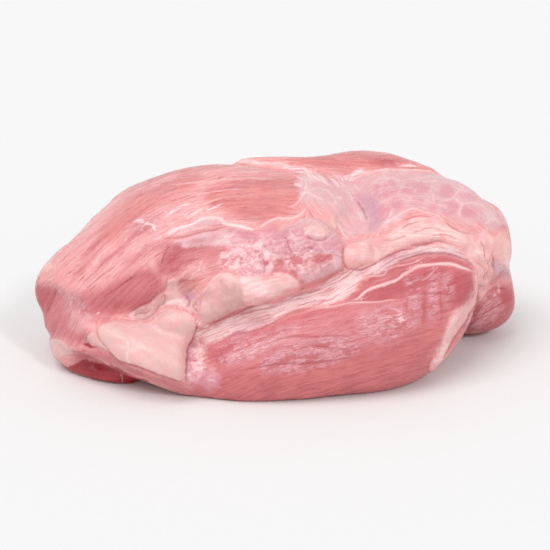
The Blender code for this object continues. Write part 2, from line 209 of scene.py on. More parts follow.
# Pinkish lilac windows in the membranes, and plates of torn flesh.
LILAC = {
    "window_a": ("front", [(53.8, 99), (54, 105), (58, 107.3), (63, 105), (62, 100), (58, 97)]),
    "window_b": ("front", [(63.5, 106), (64, 109.6), (68.5, 109.8), (70, 106), (66.5, 104.4)]),
    "window_c": ("front", [(74, 107), (75, 110), (80.5, 110), (81.2, 107), (77.5, 105.6)]),
    "window_d": ("front", [(83.7, 105), (84, 109), (88.5, 109.4), (90, 106.4), (87.5, 103.8)]),
    "window_e": ("front", [(90, 113), (91.5, 118), (96.5, 117), (98.8, 113), (94.5, 111.4)]),
    "window_f": ("front", [(101.5, 111), (102, 115), (106.5, 113.5), (110, 109.5), (105.5, 109)]),
    "window_g": ("front", [
        (91.5, 103), (93, 107.8), (98.5, 108.4), (100.6, 104), (97.5, 101), (93.5, 100.8)]),
    "window_h": ("front", [(102.4, 101), (103, 106), (107.5, 106.6), (111, 103), (107.5, 100)]),
    "window_i": ("front", [(70, 113.5), (73, 119), (81, 119.5), (86, 115.5), (80, 112)]),
    "window_j": ("front", [(54, 112), (56, 119), (64, 120.5), (68, 116), (62, 111.5)]),
    "leg_patch": ("front", [
        (-40, 15.6), (-37.6, 16), (-36.4, 18), (-33, 17.2), (-32.6, 14.6), (-29.4, 14), (-29.8, 10.4),
        (-31, 8.6), (-30, 6.6), (-34, 6.4), (-36, 4.6), (-38.4, 6.6), (-41, 8.2), (-40, 11.4)]),
    "knob_top": ("front", [
        (-6, 86.5), (0, 91), (8, 94), (15, 93.5), (16.5, 89), (22, 87), (30, 88.5), (35, 88), (36.5, 81.5),
        (28, 81), (21, 82), (12, 80), (4, 80.5), (-4, 82)]),
    "fold_side": ("front", [
        (-24, 93), (-14, 91.5), (-6, 93), (0, 96), (2, 92), (-6, 87.5), (-16, 86), (-25, 88)]),
}
# Dusky rose flesh.
ROSE = {
    "foreleg": ("front", [
        (-43, 31), (-34, 34), (-24, 36), (-10, 39.5), (0, 44), (8, 48.5), (20, 51), (36, 53.5), (44, 60),
        (54, 69), (68, 75.5), (80, 80), (94, 80), (106, 76), (111, 66), (108, 56), (102, 50), (96, 45),
        (90, 26), (84, 8), (60, -4), (0, -8), (-42, -4), (-47, 10), (-46, 22)]),
    "below_fold": ("front", [
        (-66, 64), (-64, 76), (-60, 86), (-50, 89), (-38, 92), (-24, 90), (-10, 86), (-8, 76), (-24, 71),
        (-34, 70), (-42, 77), (-56, 70)]),
    "cut": ("front", [
        (-138, 63), (-120, 61.5), (-114, 57), (-112, 48), (-110, 40), (-102, 37), (-102, 33), (-109, 29),
        (-118, 33), (-132, 36)]),
    "end_muscle": ("front", [
        (96, 26), (104, 40), (111, 51), (118, 60), (126, 64), (138, 62), (138, 40), (124, 28), (108, 24)]),
    "blade_low": ("front", [
        (-112, 56), (-97, 61), (-84, 68), (-70, 73), (-62, 68), (-62, 60), (-70, 53), (-86, 46), (-100, 44)]),
    "knob": ("front", [
        (-8, 84), (8, 93), (20, 90), (34, 90), (38, 80), (36, 68), (20, 63), (6, 64), (-4, 70)]),
    "lip": ("front", [
        (-110, 27), (-106, 29.6), (-101, 28.6), (-95.9, 29), (-90, 26.4), (-85, 22.4), (-79.5, 19),
        (-68, 14.6), (-52, 10), (-44, 3), (-50, 2), (-70, 10.5), (-80, 14.3), (-90, 19.5), (-99, 21),
        (-109.6, 19.5)]),
    "back_leg": ("back", [
        (-112, 52), (-92, 40), (-68, 55), (-36, 62), (-6, 61.4), (22, 55), (46, 43), (60, 36), (74, 24),
        (60, 0), (-60, 0), (-100, 8), (-118, 30)]),
    "back_end": ("back", [(62, 36), (84, 50), (96, 64), (106, 62), (98, 42), (84, 26), (74, 24)]),
    "back_top": ("back", [(-92, 92), (-60, 104), (-20, 110), (16, 110), (12, 104), (-30, 102), (-64, 94)]),
    "left_face": ("left", [(-64, 20), (-60, 44), (-40, 50), (-10, 40), (6, 24), (-20, 8), (-60, 8)]),
    "right_face": ("right", [(0, 20), (6, 40), (30, 44), (60, 38), (60, 16), (20, 8)]),
}
# Warm salmon red flesh.
SALMON = {
    "blade_end": ("front", [
        (-38, 116), (-24, 120), (-8, 122.5), (6, 123), (12, 119), (14, 112), (9, 104.5), (0, 99.5),
        (-10, 97.5), (-22, 101), (-34, 108)]),
    "back_strip": ("front", [
        (10, 131), (30, 125), (40, 122.5), (52, 126.4), (64, 127.4), (80, 126.8), (92, 124.6), (90, 130),
        (60, 142), (10, 140)]),
    "blade_top": ("front", [
        (-96, 92), (-84, 104), (-66, 116), (-44, 124), (-44, 118), (-60, 110), (-76, 98), (-90, 86)]),
    "foreleg_low": ("front", [
        (-30, 12), (-10, 16), (20, 20), (52, 24), (80, 34), (92, 40), (88, 16), (70, 6), (30, 0), (-10, -4),
        (-34, 2)]),
    "back_end": ("back", [(70, 24), (110, 24), (120, 50), (100, 62), (78, 50)]),
    "back_mid": ("back", [(24, 92), (58, 92), (88, 82), (84, 56), (66, 42), (44, 52), (18, 64)]),
    "back_crown": ("back", [(28, 112), (60, 110), (84, 98), (76, 112), (50, 122), (30, 122)]),
}
# Deeper red flesh, with soft edges. Below the ridge fold, under the lobe and beside the flap it is painted
# shade.
DEEP = {
    "streak": ("front", [
        (-58.5, 70.5), (-53.4, 75), (-47.9, 78), (-41, 79), (-43, 75.8), (-49, 73.5), (-54, 70.5),
        (-57, 68.5)]),
    "back_streak": ("front", [(52, 130), (60, 132.5), (68, 131), (62, 128.6)]),
    "leg_end": ("front", [
        (93, 67), (98, 71), (105, 70.5), (109, 66), (109.3, 59), (106, 54), (100, 51), (95, 53), (94, 60)]),
    "leg_top": ("front", [
        (38, 56.5), (46, 59), (56, 63.5), (66, 67), (74, 70.5), (84, 72.5), (94, 72.5), (93, 66), (82, 62),
        (70, 57), (54, 54)]),
    "leg_mauve": ("front", [
        (60, 70.5), (70, 74.5), (80, 77.5), (92, 78.5), (102, 76), (107, 72.5), (100, 74.5), (90, 75.5),
        (80, 74.6), (70, 71)]),
    "end_low": ("front", [
        (104, 40), (111, 50), (118, 57), (127, 60), (134, 57), (134, 46), (124, 38), (110, 34)]),
    "cut_patch": ("front", [(-133, 62), (-121, 61), (-122, 54), (-126, 47.5), (-133, 50)]),
    "cap_streak": ("front", [(109, 104), (113.5, 102), (120.6, 100), (127, 95.5), (124, 94), (114, 98)]),
    # Below the ridge fold's overhang: painted shade.
    "below_fold": ("front", [
        (-60, 79), (-55, 84.6), (-47, 87.4), (-38, 88), (-36, 84.6), (-43, 81.6), (-51, 78), (-57, 74)]),
    "end_dark": ("front", [(99, 47), (104, 52), (107, 50), (105, 44), (101, 38), (98, 40)]),
    # Along the seam under the lobe's edge: painted shade.
    "under_lobe_shade": ("front", [
        (-40, 41), (-36, 39.5), (-28, 42), (-18, 46.5), (-11, 51), (-14, 51.5), (-26, 46.5), (-36, 42)]),
    "back_low": ("back", [(-120, 24), (-80, 14), (-70, 30), (-90, 52), (-118, 50)]),
    "back_slit": ("back", [(80, 50), (90, 59), (97, 71), (100, 69), (93, 55), (84, 46)]),
    "left_cut": ("left", [(-60, 24), (-40, 22), (-44, 46), (-60, 40)]),
    "right_low": ("right", [(0, 22), (44, 22), (56, 40), (30, 46), (4, 36)]),
}
# Dark wet blood-red flesh.
BLOOD = {
    "under_lip": ("front", [
        (-118, 19.5), (-114, 18.8), (-109.6, 20), (-103.6, 22.5), (-99.2, 21), (-90, 19.6), (-85, 17.4),
        (-80, 14.4), (-74, 12.2), (-69, 10.4), (-68, 4), (-90, 0), (-118, 8)]),
    # Darkest red in a small recess by the lip: painted shade.
    "crevice_shade": ("front", [(-105.8, 30.9), (-103, 32), (-99.2, 29.8), (-97, 29), (-101.4, 28.4)]),
}
# Violet tint of thin membranes, and painted shade in their hollows, dimples and folds and beside the sheath.
MAUVE_AND_SHADE = {
    "hollow": ("front", [
        (45, 110), (48, 113), (55, 112), (57.5, 104), (57.5, 96), (54, 92.8), (51.5, 95), (50.5, 100),
        (47.5, 105)]),
    "dimple": ("front", [(-19, 72), (-15, 77), (-9, 77.5), (-6, 73), (-8, 68.5), (-14, 66)]),
    "sheath": ("front", [
        (58, 74.6), (64, 79), (72, 82), (82, 83.6), (92, 83.6), (100, 81), (106, 77), (99, 79), (90, 80.4),
        (80, 79.8), (70, 77), (62, 73)]),
    "leg_end": ("front", [(-47.4, 30), (-42.6, 33), (-41.4, 27), (-43, 20), (-47, 16), (-47.6, 23)]),
    "crumple": ("front", [(-50, 59), (-45, 58.5), (-41, 54), (-41, 47.8), (-46, 49), (-50, 52)]),
    "band_streak": ("front", [
        (-22, 36.5), (-14.2, 40.4), (-8.8, 42.6), (-2.7, 45.4), (-2.2, 43.6), (-8.6, 40.6), (-14, 37.9),
        (-21, 34.9)]),
    "end_top": ("front", [(120.6, 74), (125, 73), (128.7, 69), (124, 68.6), (121, 70)]),
    "skin": ("front", [(-79, 45), (-73, 47.5), (-66, 47), (-68.5, 43.6), (-76, 43)]),
}
# Brownish orange gristle.
AMBER = {
    "gristle": ("front", [
        (-56, 58), (-53.4, 66.4), (-47, 68.5), (-42, 66), (-43.5, 59.5), (-48, 56.4), (-53, 56)]),
    "spot": ("front", [(-104.4, 49), (-101.6, 50), (-100.4, 46.5), (-103.4, 45)]),
}
# Yellower fat and gristle.
CREAM = {
    "strip": ("front", [(-52, 68), (-46, 70.6), (-39, 74), (-32, 77), (-30, 74), (-38, 70.4), (-46, 67.2)]),
    "seed": ("front", [(30, 100), (34, 101), (36, 95), (31, 93)]),
    "left_bump": ("front", [(-132, 73), (-126, 79), (-120, 75), (-124, 68)]),
    "rim": ("front", [(121, 90), (126, 96), (138, 86), (136, 72), (129, 72), (125, 76), (123, 83)]),
    "flap_edge": ("front", [(-98, 43), (-92, 43), (-91, 38), (-93, 32), (-98, 34)]),
}
# Wet flesh: lower roughness and a coat, a darker rose ground, and a painted sheen of broken pale highlights.
WET = {
    "leg_left": ("front", [
        (-26, 34), (-8, 37.5), (6, 41), (14, 40), (6, 33), (-6, 27), (-18, 21), (-30, 20), (-31, 27)]),
    "leg_mid": ("front", [
        (-6, 22), (6, 30), (16, 34), (34, 36), (46, 33), (44, 25), (30, 19), (10, 15), (-8, 15)]),
    "leg_right": ("front", [
        (46, 44), (54, 50), (64, 51.5), (72, 50), (71, 42), (66, 34), (54, 31), (46, 36)]),
    "leg_column_a": ("front", [
        (72.6, 66), (76.5, 68), (80.4, 67), (79.6, 52), (77, 40), (74, 40), (73.6, 52)]),
    "leg_column_b": ("front", [(84.3, 67), (89.4, 68.5), (89.6, 56), (87.5, 46), (84, 46), (84.4, 56)]),
    "leg_column_c": ("front", [(92, 68), (96.6, 68), (97.5, 60), (95.5, 53), (92.4, 54)]),
    "end_muscle": ("front", [(104, 42), (113, 55), (120, 59), (124, 50), (118, 42), (108, 37)]),
    "knob": ("front", [
        (-4, 84), (4, 90), (14, 93), (16, 88), (24, 87), (34, 87), (36, 81), (22, 81), (14, 78), (4, 79)]),
    "blade_knot": ("front", [(-80, 97), (-66, 101), (-60, 96), (-70, 91)]),
    "cut": ("front", [(-112, 60), (-105, 56), (-102, 47), (-105, 38), (-112, 41), (-115, 51)]),
    "back_top": ("back", [(-62, 104), (-22, 112), (12, 113), (10, 106), (-24, 104), (-58, 98)]),
    "left_end": ("left", [(-40, 50), (-20, 58), (0, 50), (4, 38), (-16, 44), (-36, 42)]),
    "right_end": ("right", [(6, 6), (24, 22), (40, 20), (50, 4), (30, -10)]),
}
# Small marks: for each tissue, groups of places with half length, half width and turn in degrees.
SPOTS = {
    "fat": {
        "torn_bits": ("front", [(-97, 48, 1.4, 0.6, 40)]),
    },
    "tallow": {
        "tangle": ("front", [
            (-22, 79.5, 6.5, 3, 25), (-26, 75, 3.5, 2, -30), (-15, 83, 4.6, 2.8, 60), (-10, 85, 4.4, 2.4, 35),
            (-5, 79.5, 3.4, 2, 100), (-21, 73.5, 4, 1.8, 120), (-3, 72.5, 3.8, 2, 60),
            (-10.5, 79.5, 2.4, 1.4, 20), (-29, 79, 2.4, 1.2, 80)]),
        "left_bump": ("front", [(-125.5, 73, 3.4, 2.6, 45)]),
        "end_bits": ("front", [(122.9, 60.8, 2.8, 0.7, 92), (113, 55.6, 2.3, 2.2, 0)]),
    },
    "silk": {
        "blade_flecks": ("front", [
            (-70, 96.5, 5, 0.8, -14), (-66.6, 94.6, 2.4, 0.7, -50), (-75, 98.4, 2.6, 0.8, 12),
            (-50, 106.5, 6, 0.7, 24), (-44, 102.5, 5, 0.7, 34), (-58, 102, 4, 0.6, 40),
            (-33, 105.5, 5, 0.6, 24)]),
        "back_flecks": ("back", [
            (-60, 112, 8, 0.9, 12), (-36, 118, 6, 0.8, 8), (6, 121, 7, 0.9, -4), (36, 112, 9, 1, -10),
            (66, 106, 6, 0.9, -24), (54, 73, 8, 1.1, -24), (72, 62, 6, 0.8, -30), (32, 88, 9, 0.9, -8),
            (-20, 107, 7, 0.8, 4), (50, 84, 5, 0.8, -16), (40, 70, 5, 0.8, -30), (62, 80, 7, 0.7, -22)]),
        "lobe": ("front", [(-15, 62, 5, 1.2, -20), (-8, 58, 6, 1.1, 10), (-19, 54, 4, 1, 30)]),
        "strip_patch": ("front", [(45, 125, 3.4, 1.6, 20), (38, 121.6, 3, 1.2, 40), (74, 128.5, 6, 0.8, 3)]),
        "nodules": ("front", [(-39.5, 41, 4.4, 1.4, -20)]),
    },
    "lilac": {
        "plates": ("front", [
            (3.4, 86.6, 2.4, 2.2, 0), (12.6, 86.6, 2.4, 2.2, 0), (25, 84, 6, 2.6, 5), (-3, 77, 3, 2, 60),
            (8, 76, 3, 1.6, -30)]),
    },
    "rose": {
        "blade": ("front", [
            (-84, 84, 12, 1.8, 42), (-93, 76, 10, 1.8, 44), (-76, 91, 12, 1.6, 38), (-75, 79, 8, 1.8, 40),
            (-99, 84, 9, 1.4, 46), (-62, 86, 8, 1.6, 30), (-106, 72, 8, 1.6, 46)]),
    },
    "deep": {
        "knob": ("front", [
            (3.4, 76, 2.6, 1.2, -30), (-3.4, 73.4, 2.4, 1.2, -40), (10.5, 71.2, 5.4, 1.5, -25),
            (24.4, 76, 3.6, 2, -20), (33, 79.4, 4, 1.2, -12), (25, 87.2, 4.6, 0.9, -6),
            (30, 70, 3, 1.6, 40)]),
        "gristle": ("front", [(-50.2, 65.2, 2.4, 1, 20)]),
        "seam_dots": ("front", [
            (15.2, 60.8, 1, 0.6, 30), (12.2, 57, 0.9, 0.5, 30), (29, 65.4, 2.6, 0.8, 28)]),
        "leg": ("front", [
            (-31, 24, 4.4, 2.6, 30), (-48.2, 12.1, 1.4, 1, 0), (81.8, 52, 10, 1.4, 88),
            (90.6, 55, 8, 0.8, 92), (71.6, 49, 8, 1.1, 84), (42, 57.8, 4, 0.8, 10),
            (52, 65.6, 6.5, 1.6, 28)]),
        # At the flap's right edge: painted shadow.
        "flap_side_shade": ("front", [(-42, 38.4, 3, 1.2, 160)]),
    },
    "mauve_and_shade": {
        "specks": ("front", [
            (-16, 70, 1.2, 0.8, 30), (-12.6, 68.5, 1, 0.7, 0), (-14, 72.6, 1.1, 0.7, 60),
            (-8, 71.6, 1.6, 2.2, 20), (36, 86, 1.6, 0.8, 100)]),
        "cap": ("front", [(53.4, 96.6, 4, 3, 90), (50, 108, 4, 2.4, 60)]),
        "knots": ("front", [(-48.6, 52.8, 1.8, 1, 70), (-45, 50.6, 1.6, 1.4, 0)]),
    },
    "salmon": {
        "cap_oval": ("front", [(77, 87.4, 2.6, 1.1, 0)]),
        "band_red": ("front", [(28, 58, 6, 1, 20), (12, 52.5, 5, 0.8, 22), (-4, 47.4, 4, 0.7, 24)]),
    },
}
TISSUES = {"fat": FAT, "tallow": TALLOW, "silk": SILK, "torn": TORN, "gristle": GRISTLE, "film": FILM,
           "lilac": LILAC, "rose": ROSE, "salmon": SALMON, "deep": DEEP, "blood": BLOOD, "mauve_and_shade": MAUVE_AND_SHADE,
           "amber": AMBER, "cream": CREAM, "wet": WET}

# White lines of sinew, and painted highlights along the ridge's crest and the flap's fold: side, line, half
# width.
SINEWS = {
    "leg_main": ("front", [
        (40, 53.5), (45.6, 55.5), (50.6, 59.7), (60.5, 63.5), (66.5, 65.5), (70.5, 68.5), (74.5, 71),
        (78.5, 73.2), (83, 74), (90, 74.5), (97, 73.9), (105.4, 71.7), (109, 70.4)], 0.95),
    "leg_second": ("front", [(24, 50.5), (35.6, 52), (47.6, 53.3), (57, 53.8), (68, 55.4)], 0.4),
    "leg_thin": ("front", [
        (44, 65), (50, 67.5), (59.5, 68.5), (61.5, 71.5), (71.5, 73.8), (77, 75.5), (82, 78.6)], 0.4),
    "leg_branch": ("front", [(80, 65), (83.6, 67), (86.4, 70), (89.4, 73)], 0.25),
    "leg_left": ("front", [(-43.8, 36), (-41.6, 30), (-42.6, 24.7), (-40.6, 19)], 0.4),
    "blade_end": ("front", [
        (10.4, 123), (14, 121.3), (16.7, 119.7), (17.2, 116), (15.6, 112.4), (11.5, 107), (6, 105.4)], 0.5),
    "blade_twig": ("front", [(17, 115), (20, 112), (26, 110)], 0.4),
    "blade_knot": ("front", [(10.5, 118), (12, 117.8), (15, 116.6)], 1.0),
    # On the raised ridge, the white line along the crest is a painted highlight.
    "ridge": ("front", [
        (-60, 90), (-56, 92.6), (-52, 94.4), (-46, 95.8), (-39.5, 99), (-31, 99.6), (-27, 96.4), (-19, 95),
        (-10, 92.6)], 1.1),
    "ribbon": ("front", [
        (-8, 94.5), (-5.9, 96.3), (0, 98.8), (5.5, 99.2), (10.1, 99.7), (13.9, 101.8), (17.3, 105.6)], 0.7),
    "knob_right": ("front", [(34, 97), (35, 95.4), (37.1, 91.2), (40, 88.3)], 0.45),
    "sliver": ("front", [(-40.4, 76), (-41.4, 73), (-42, 70)], 0.35),
    "lobe_edge": ("front", [(-40.4, 56.6), (-36.5, 63.4), (-32.9, 67), (-28, 70)], 0.5),
    "crescent": ("front", [(63.5, 103.9), (63.5, 101.4), (61.8, 98.4), (60, 95.8)], 0.6),
    "web_a": ("front", [(93, 109.3), (97.6, 110.7), (101.4, 115)], 0.4),
    "web_b": ("front", [(97.6, 110.5), (102, 106.8), (101.4, 103), (100.9, 99.6)], 0.45),
    "web_c": ("front", [(102, 106.5), (107.4, 108), (112, 106.6)], 0.35),
    "cap_low": ("front", [(58, 94.6), (66, 100), (74, 104.4), (83, 102.6), (92, 100.2)], 0.45),
    "strip_edge": ("front", [
        (35.6, 121.8), (41.1, 121), (44, 123.6), (53.3, 125.2), (62.6, 126), (79.9, 125.6), (90, 123.8)],
        0.5),
    # A painted highlight along the flap's fold, on a small raised ridge.
    "flap_fold_highlight": ("front", [(-81.4, 34), (-80, 29), (-80.4, 24), (-78.8, 18.6)], 0.35),
    "skin_edge": ("front", [(-66, 56.6), (-60.6, 60.6), (-59, 64.6), (-54.6, 66.4)], 0.4),
    "skin_fold": ("front", [(-60, 52), (-55, 54.4), (-50, 54)], 1.1),
    "blade_a": ("front", [(-46, 111.7), (-31, 114.4), (-16, 115.8)], 0.25),
    "blade_b": ("front", [(-39.5, 107.5), (-25.8, 111), (-10, 112.4)], 0.25),
    "blade_c": ("front", [(-58.6, 117.8), (-39.5, 119.4), (-19, 121), (1.6, 121)], 0.3),
    "blood_line": ("front", [(-84.4, 14.4), (-83.6, 12.4), (-83.8, 10)], 0.2),
    "back_a": ("back", [(-98, 74.5), (-80, 84), (-62, 90.5), (-44, 95)], 0.7),
    "back_b": ("back", [(-20, 99.6), (4, 101.4), (20, 100.8)], 0.4),
    "back_c": ("back", [(44, 99), (66, 96), (84, 90.5), (94, 86)], 0.6),
    "back_branch": ("back", [(40, 99.5), (46, 92), (56, 84), (60, 76)], 0.4),
    "back_low_a": ("back", [(-86, 44), (-70, 55), (-52, 62.5)], 0.5),
    "back_low_b": ("back", [(-20, 67.4), (4, 65.4), (26, 58.6), (44, 49)], 0.6),
    "back_low_twig": ("back", [(8, 65), (14, 72), (24, 76)], 0.3),
    "back_end": ("back", [(100, 82), (104, 70), (100, 58), (90, 48)], 0.4),
    "left_a": ("left", [(-63, 38), (-54, 50), (-44, 57)], 0.5),
    "left_b": ("left", [(-30, 65), (-18, 67), (-6, 64)], 0.35),
    "left_c": ("left", [(-46, 56), (-40, 46), (-42, 36)], 0.3),
    "right_a": ("right", [(14, 54), (26, 61), (40, 62)], 0.5),
    "right_b": ("right", [(52, 58), (62, 52), (72, 42)], 0.4),
    "right_c": ("right", [(34, 62), (44, 54), (46, 46)], 0.3),
}
# Grooves in folds and seams, with painted shade along them: side, line, half width, depth.
CREASES = {
    "seam": ("front", [
        (-36, 40), (-30.1, 42.7), (-24.7, 45.3), (-18.6, 47.6), (-14.2, 49.8), (-9.9, 52)], 0.6, 0.9),
    "seam_right": ("front", [
        (-5.5, 50.4), (0, 51.4), (5.5, 53.9), (13.7, 57.2), (19.7, 58.8), (24.7, 61)], 0.25, 0.4),
    "blade_under": ("front", [
        (-82, 46), (-74, 51.6), (-68.5, 54), (-64.4, 57.7), (-60.3, 61.2), (-59, 67)], 0.55, 0.8),
    "hollow": ("front", [(45.3, 109), (47.9, 105.2), (49.5, 101.8), (50.4, 98.6)], 0.35, 0.7),
    "oval_under": ("front", [(17, 90), (20, 88.4), (25, 87.7), (30, 89.6)], 0.4, 0.6),
    "knob_a": ("front", [(6.7, 86.6), (8, 83.2), (10.1, 79.5)], 0.35, 0.5),
    "knob_b": ("front", [(13.2, 80), (15.4, 82.8), (18.5, 83.6), (22, 82.6)], 0.35, 0.5),
    "knob_c": ("front", [(4.8, 88.9), (7.2, 87.7), (9, 88.4)], 0.3, 0.4),
    "knob_side": ("front", [(37.5, 84), (37.7, 77.3), (38.8, 73.5), (41, 71)], 0.5, 0.7),
    "fat_a": ("front", [(60, 88), (66, 87.6), (72, 90)], 0.25, 0.5),
    "fat_b": ("front", [(76, 92), (84, 94.5), (92, 93)], 0.25, 0.5),
    "fat_c": ("front", [(86, 90), (93, 90.6), (100, 88)], 0.3, 0.5),
    "fat_d": ("front", [(94, 97), (101, 93), (108, 91)], 0.25, 0.5),
    "cushion_under": ("front", [(40.5, 71.6), (46, 71), (52, 73.4), (57, 76)], 0.35, 0.6),
    "sheath": ("front", [
        (66, 74), (69.5, 76.4), (74.5, 78.3), (80, 79.9), (90.4, 80.7), (95.4, 80), (101.3, 78.6),
        (106.4, 75.8), (109.6, 71.6)], 0.4, 0.7),
    "sheath_vein": ("front", [(56, 75.6), (62, 78.6), (70, 82), (78, 83.4)], 0.3, 0.3),
    "end_fold_a": ("front", [(111.6, 86.4), (114.6, 83), (115, 77.6)], 0.22, 0.5),
    "end_fold_b": ("front", [(119.6, 82.4), (117, 76), (117.6, 69)], 0.22, 0.5),
    "end_fold_c": ("front", [(111, 75.4), (114.6, 72), (114, 65)], 0.22, 0.5),
    "fat_crease": ("front", [
        (73.5, 84.9), (78.5, 84.7), (83, 85.2), (86.4, 86.4), (90, 86.7), (94.4, 86.2)], 0.4, 0.8),
    "fat_fold_a": ("front", [(69.6, 93.8), (73.6, 96.7), (79.9, 98.4)], 0.3, 0.6),
    "fat_fold_b": ("front", [(70.2, 98.4), (75.7, 100.5), (80.3, 101.2), (85.4, 100.5)], 0.25, 0.5),
    "end_gap": ("front", [
        (110.7, 60), (109.9, 52.1), (106.9, 47.1), (103.6, 41.1), (99.7, 35.6), (96.5, 30), (90.4, 19.7)],
        0.6, 0.9),
    "end_top": ("front", [(112, 53), (116.6, 59), (121, 61.6), (127, 60.4)], 0.35, 0.7),
    "lump_e": ("front", [(119.4, 79), (120.6, 76.4), (120.2, 72)], 0.5, 0.9),
    "leg_under": ("front", [
        (-30.7, 32), (-25.2, 35.2), (-20.3, 36.8), (-11, 38.4), (-2.7, 41.8), (2.7, 45), (6.6, 47.2),
        (11, 48.9), (19.7, 50.2)], 0.25, 0.4),
    "flap_side_shade": ("front", [(-42.4, 41), (-44.6, 34), (-47.4, 28.6), (-48, 22), (-48.7, 13)], 0.6, 0.9),
    "flap_under": ("front", [(-52, 9.9), (-61, 12.9), (-75, 17.8), (-85, 21.1), (-91, 27)], 0.35, 0.6),
    "fold_under": ("front", [(-56, 88.6), (-48, 89.6), (-40, 92.2), (-31, 93)], 0.35, 0.4),
    "leg_grain": ("front", [(-8.8, 29.6), (0, 31.8), (9.9, 34.5), (27.4, 35.1), (38, 35.4)], 0.3, 0.3),
    "leg_grain_b": ("front", [(20.8, 30.1), (26, 29.4), (31.8, 27.9)], 0.25, 0.2),
    "leg_grain_c": ("front", [(78, 58.3), (86, 58.6), (96, 58)], 0.2, 0.2),
    "leg_grain_d": ("front", [(-20, 16), (0, 19.4), (24, 20.6), (46, 24)], 0.25, 0.2),
    "skin_a": ("front", [(-77.3, 45.6), (-74, 47.4), (-70, 47.8), (-67.4, 50)], 0.35, 0.5),
    "skin_b": ("front", [(-73, 43.8), (-69, 45.4), (-65.4, 48.4), (-63, 52)], 0.35, 0.5),
    "skin_c": ("front", [(-62, 51), (-60, 54.6), (-61, 58)], 0.3, 0.4),
    "skin_d": ("front", [(-49, 57), (-46.4, 54), (-48, 50.6)], 0.35, 0.5),
    "skin_e": ("front", [(-43, 54), (-44.4, 51), (-42.4, 48.4)], 0.35, 0.5),
    "cut_line": ("front", [(-119.5, 60.9), (-122.2, 54.3), (-125.5, 47.7)], 0.35, 0.4),
    "blade_a": ("front", [(-62.4, 74), (-60.6, 80), (-58, 84.6)], 0.3, 0.3),
    "blade_b": ("front", [(-95, 55.5), (-86, 61.5), (-76, 68.4)], 0.3, 0.3),
    "blade_c": ("front", [(-105, 60), (-97, 67), (-88, 73)], 0.25, 0.2),
    "back_main": ("back", [(-104, 71), (-80, 82.5), (-58, 90), (-34, 95)], 0.5, 0.9),
    "back_mid": ("back", [(-12, 98.2), (16, 99.4), (40, 98)], 0.35, 0.6),
    "back_right": ("back", [(58, 96), (78, 91), (96, 83)], 0.5, 0.9),
    "back_low": ("back", [(-96, 38), (-72, 52), (-50, 61), (-30, 65)], 0.5, 0.9),
    "back_low_right": ("back", [(-6, 64.6), (20, 58.4), (44, 47), (62, 37)], 0.45, 0.8),
    "back_fat_a": ("back", [(-50, 33), (-40, 38), (-26, 37), (-12, 38.6)], 0.35, 0.7),
    "back_fat_b": ("back", [(0, 24), (16, 29), (26, 28), (38, 30)], 0.35, 0.7),
    "back_fat_c": ("back", [(-40, 18), (-16, 23), (4, 20)], 0.3, 0.5),
    "back_fat_d": ("back", [(2, 50), (8, 44), (22, 40)], 0.3, 0.6),
    "left_main": ("left", [(-66, 34.5), (-54, 48.6), (-40, 59)], 0.45, 0.8),
    "left_up": ("left", [(-26, 63.6), (-14, 64.6), (-4, 60)], 0.3, 0.5),
    "left_low": ("left", [(-54, 22), (-36, 36), (-20, 42), (-6, 42)], 0.4, 0.7),
    "right_main": ("right", [(12, 50), (22, 58), (36, 60.5), (48, 58)], 0.45, 0.8),
    "right_low": ("right", [(12, 32), (30, 39), (46, 36), (54, 30)], 0.35, 0.6),
}
# Parts that stand proud: side, outline, height, and the width of the slope at the edge.
RAISED = {
    "flap": (*FAT["flap"], 1.2, 1.1),
    "corner": (*FAT["corner"], 0.5, 2.0),
    "neck": (*FAT["neck"], 0.5, 2.0),
    "oval": (*FAT["oval"], 0.5, 2.4),
    "seed": (*FAT["seed"], 0.7, 1.6),
    "end_strip": (*TALLOW["end_strip"], 0.5, 2.0),
    "lobe": ("front", [
        (-40.8, 46.6), (-40, 57), (-35.3, 64.4), (-31.2, 68.5), (-25.8, 69.9), (-19, 68), (-10, 69), (0, 70),
        (9, 68.5), (14, 64), (11, 59), (2, 55.4), (-8, 52), (-17.5, 50.4), (-25.8, 47.4), (-34, 42.8),
        (-39.5, 41.8)], 0.7, 2.2),
    "fold_skin": (*GRISTLE["fold_skin"], 0.5, 1.6),
    "ridge_fold": (*FILM["ridge_fold"], 0.6, 4.0),
    "knob_top": (*LILAC["knob_top"], 0.5, 1.2),
    "leg_sheath": (*SILK["leg_sheath"], 0.3, 1.6),
    "leg_patch": (*LILAC["leg_patch"], 0.25, 1.6),
}
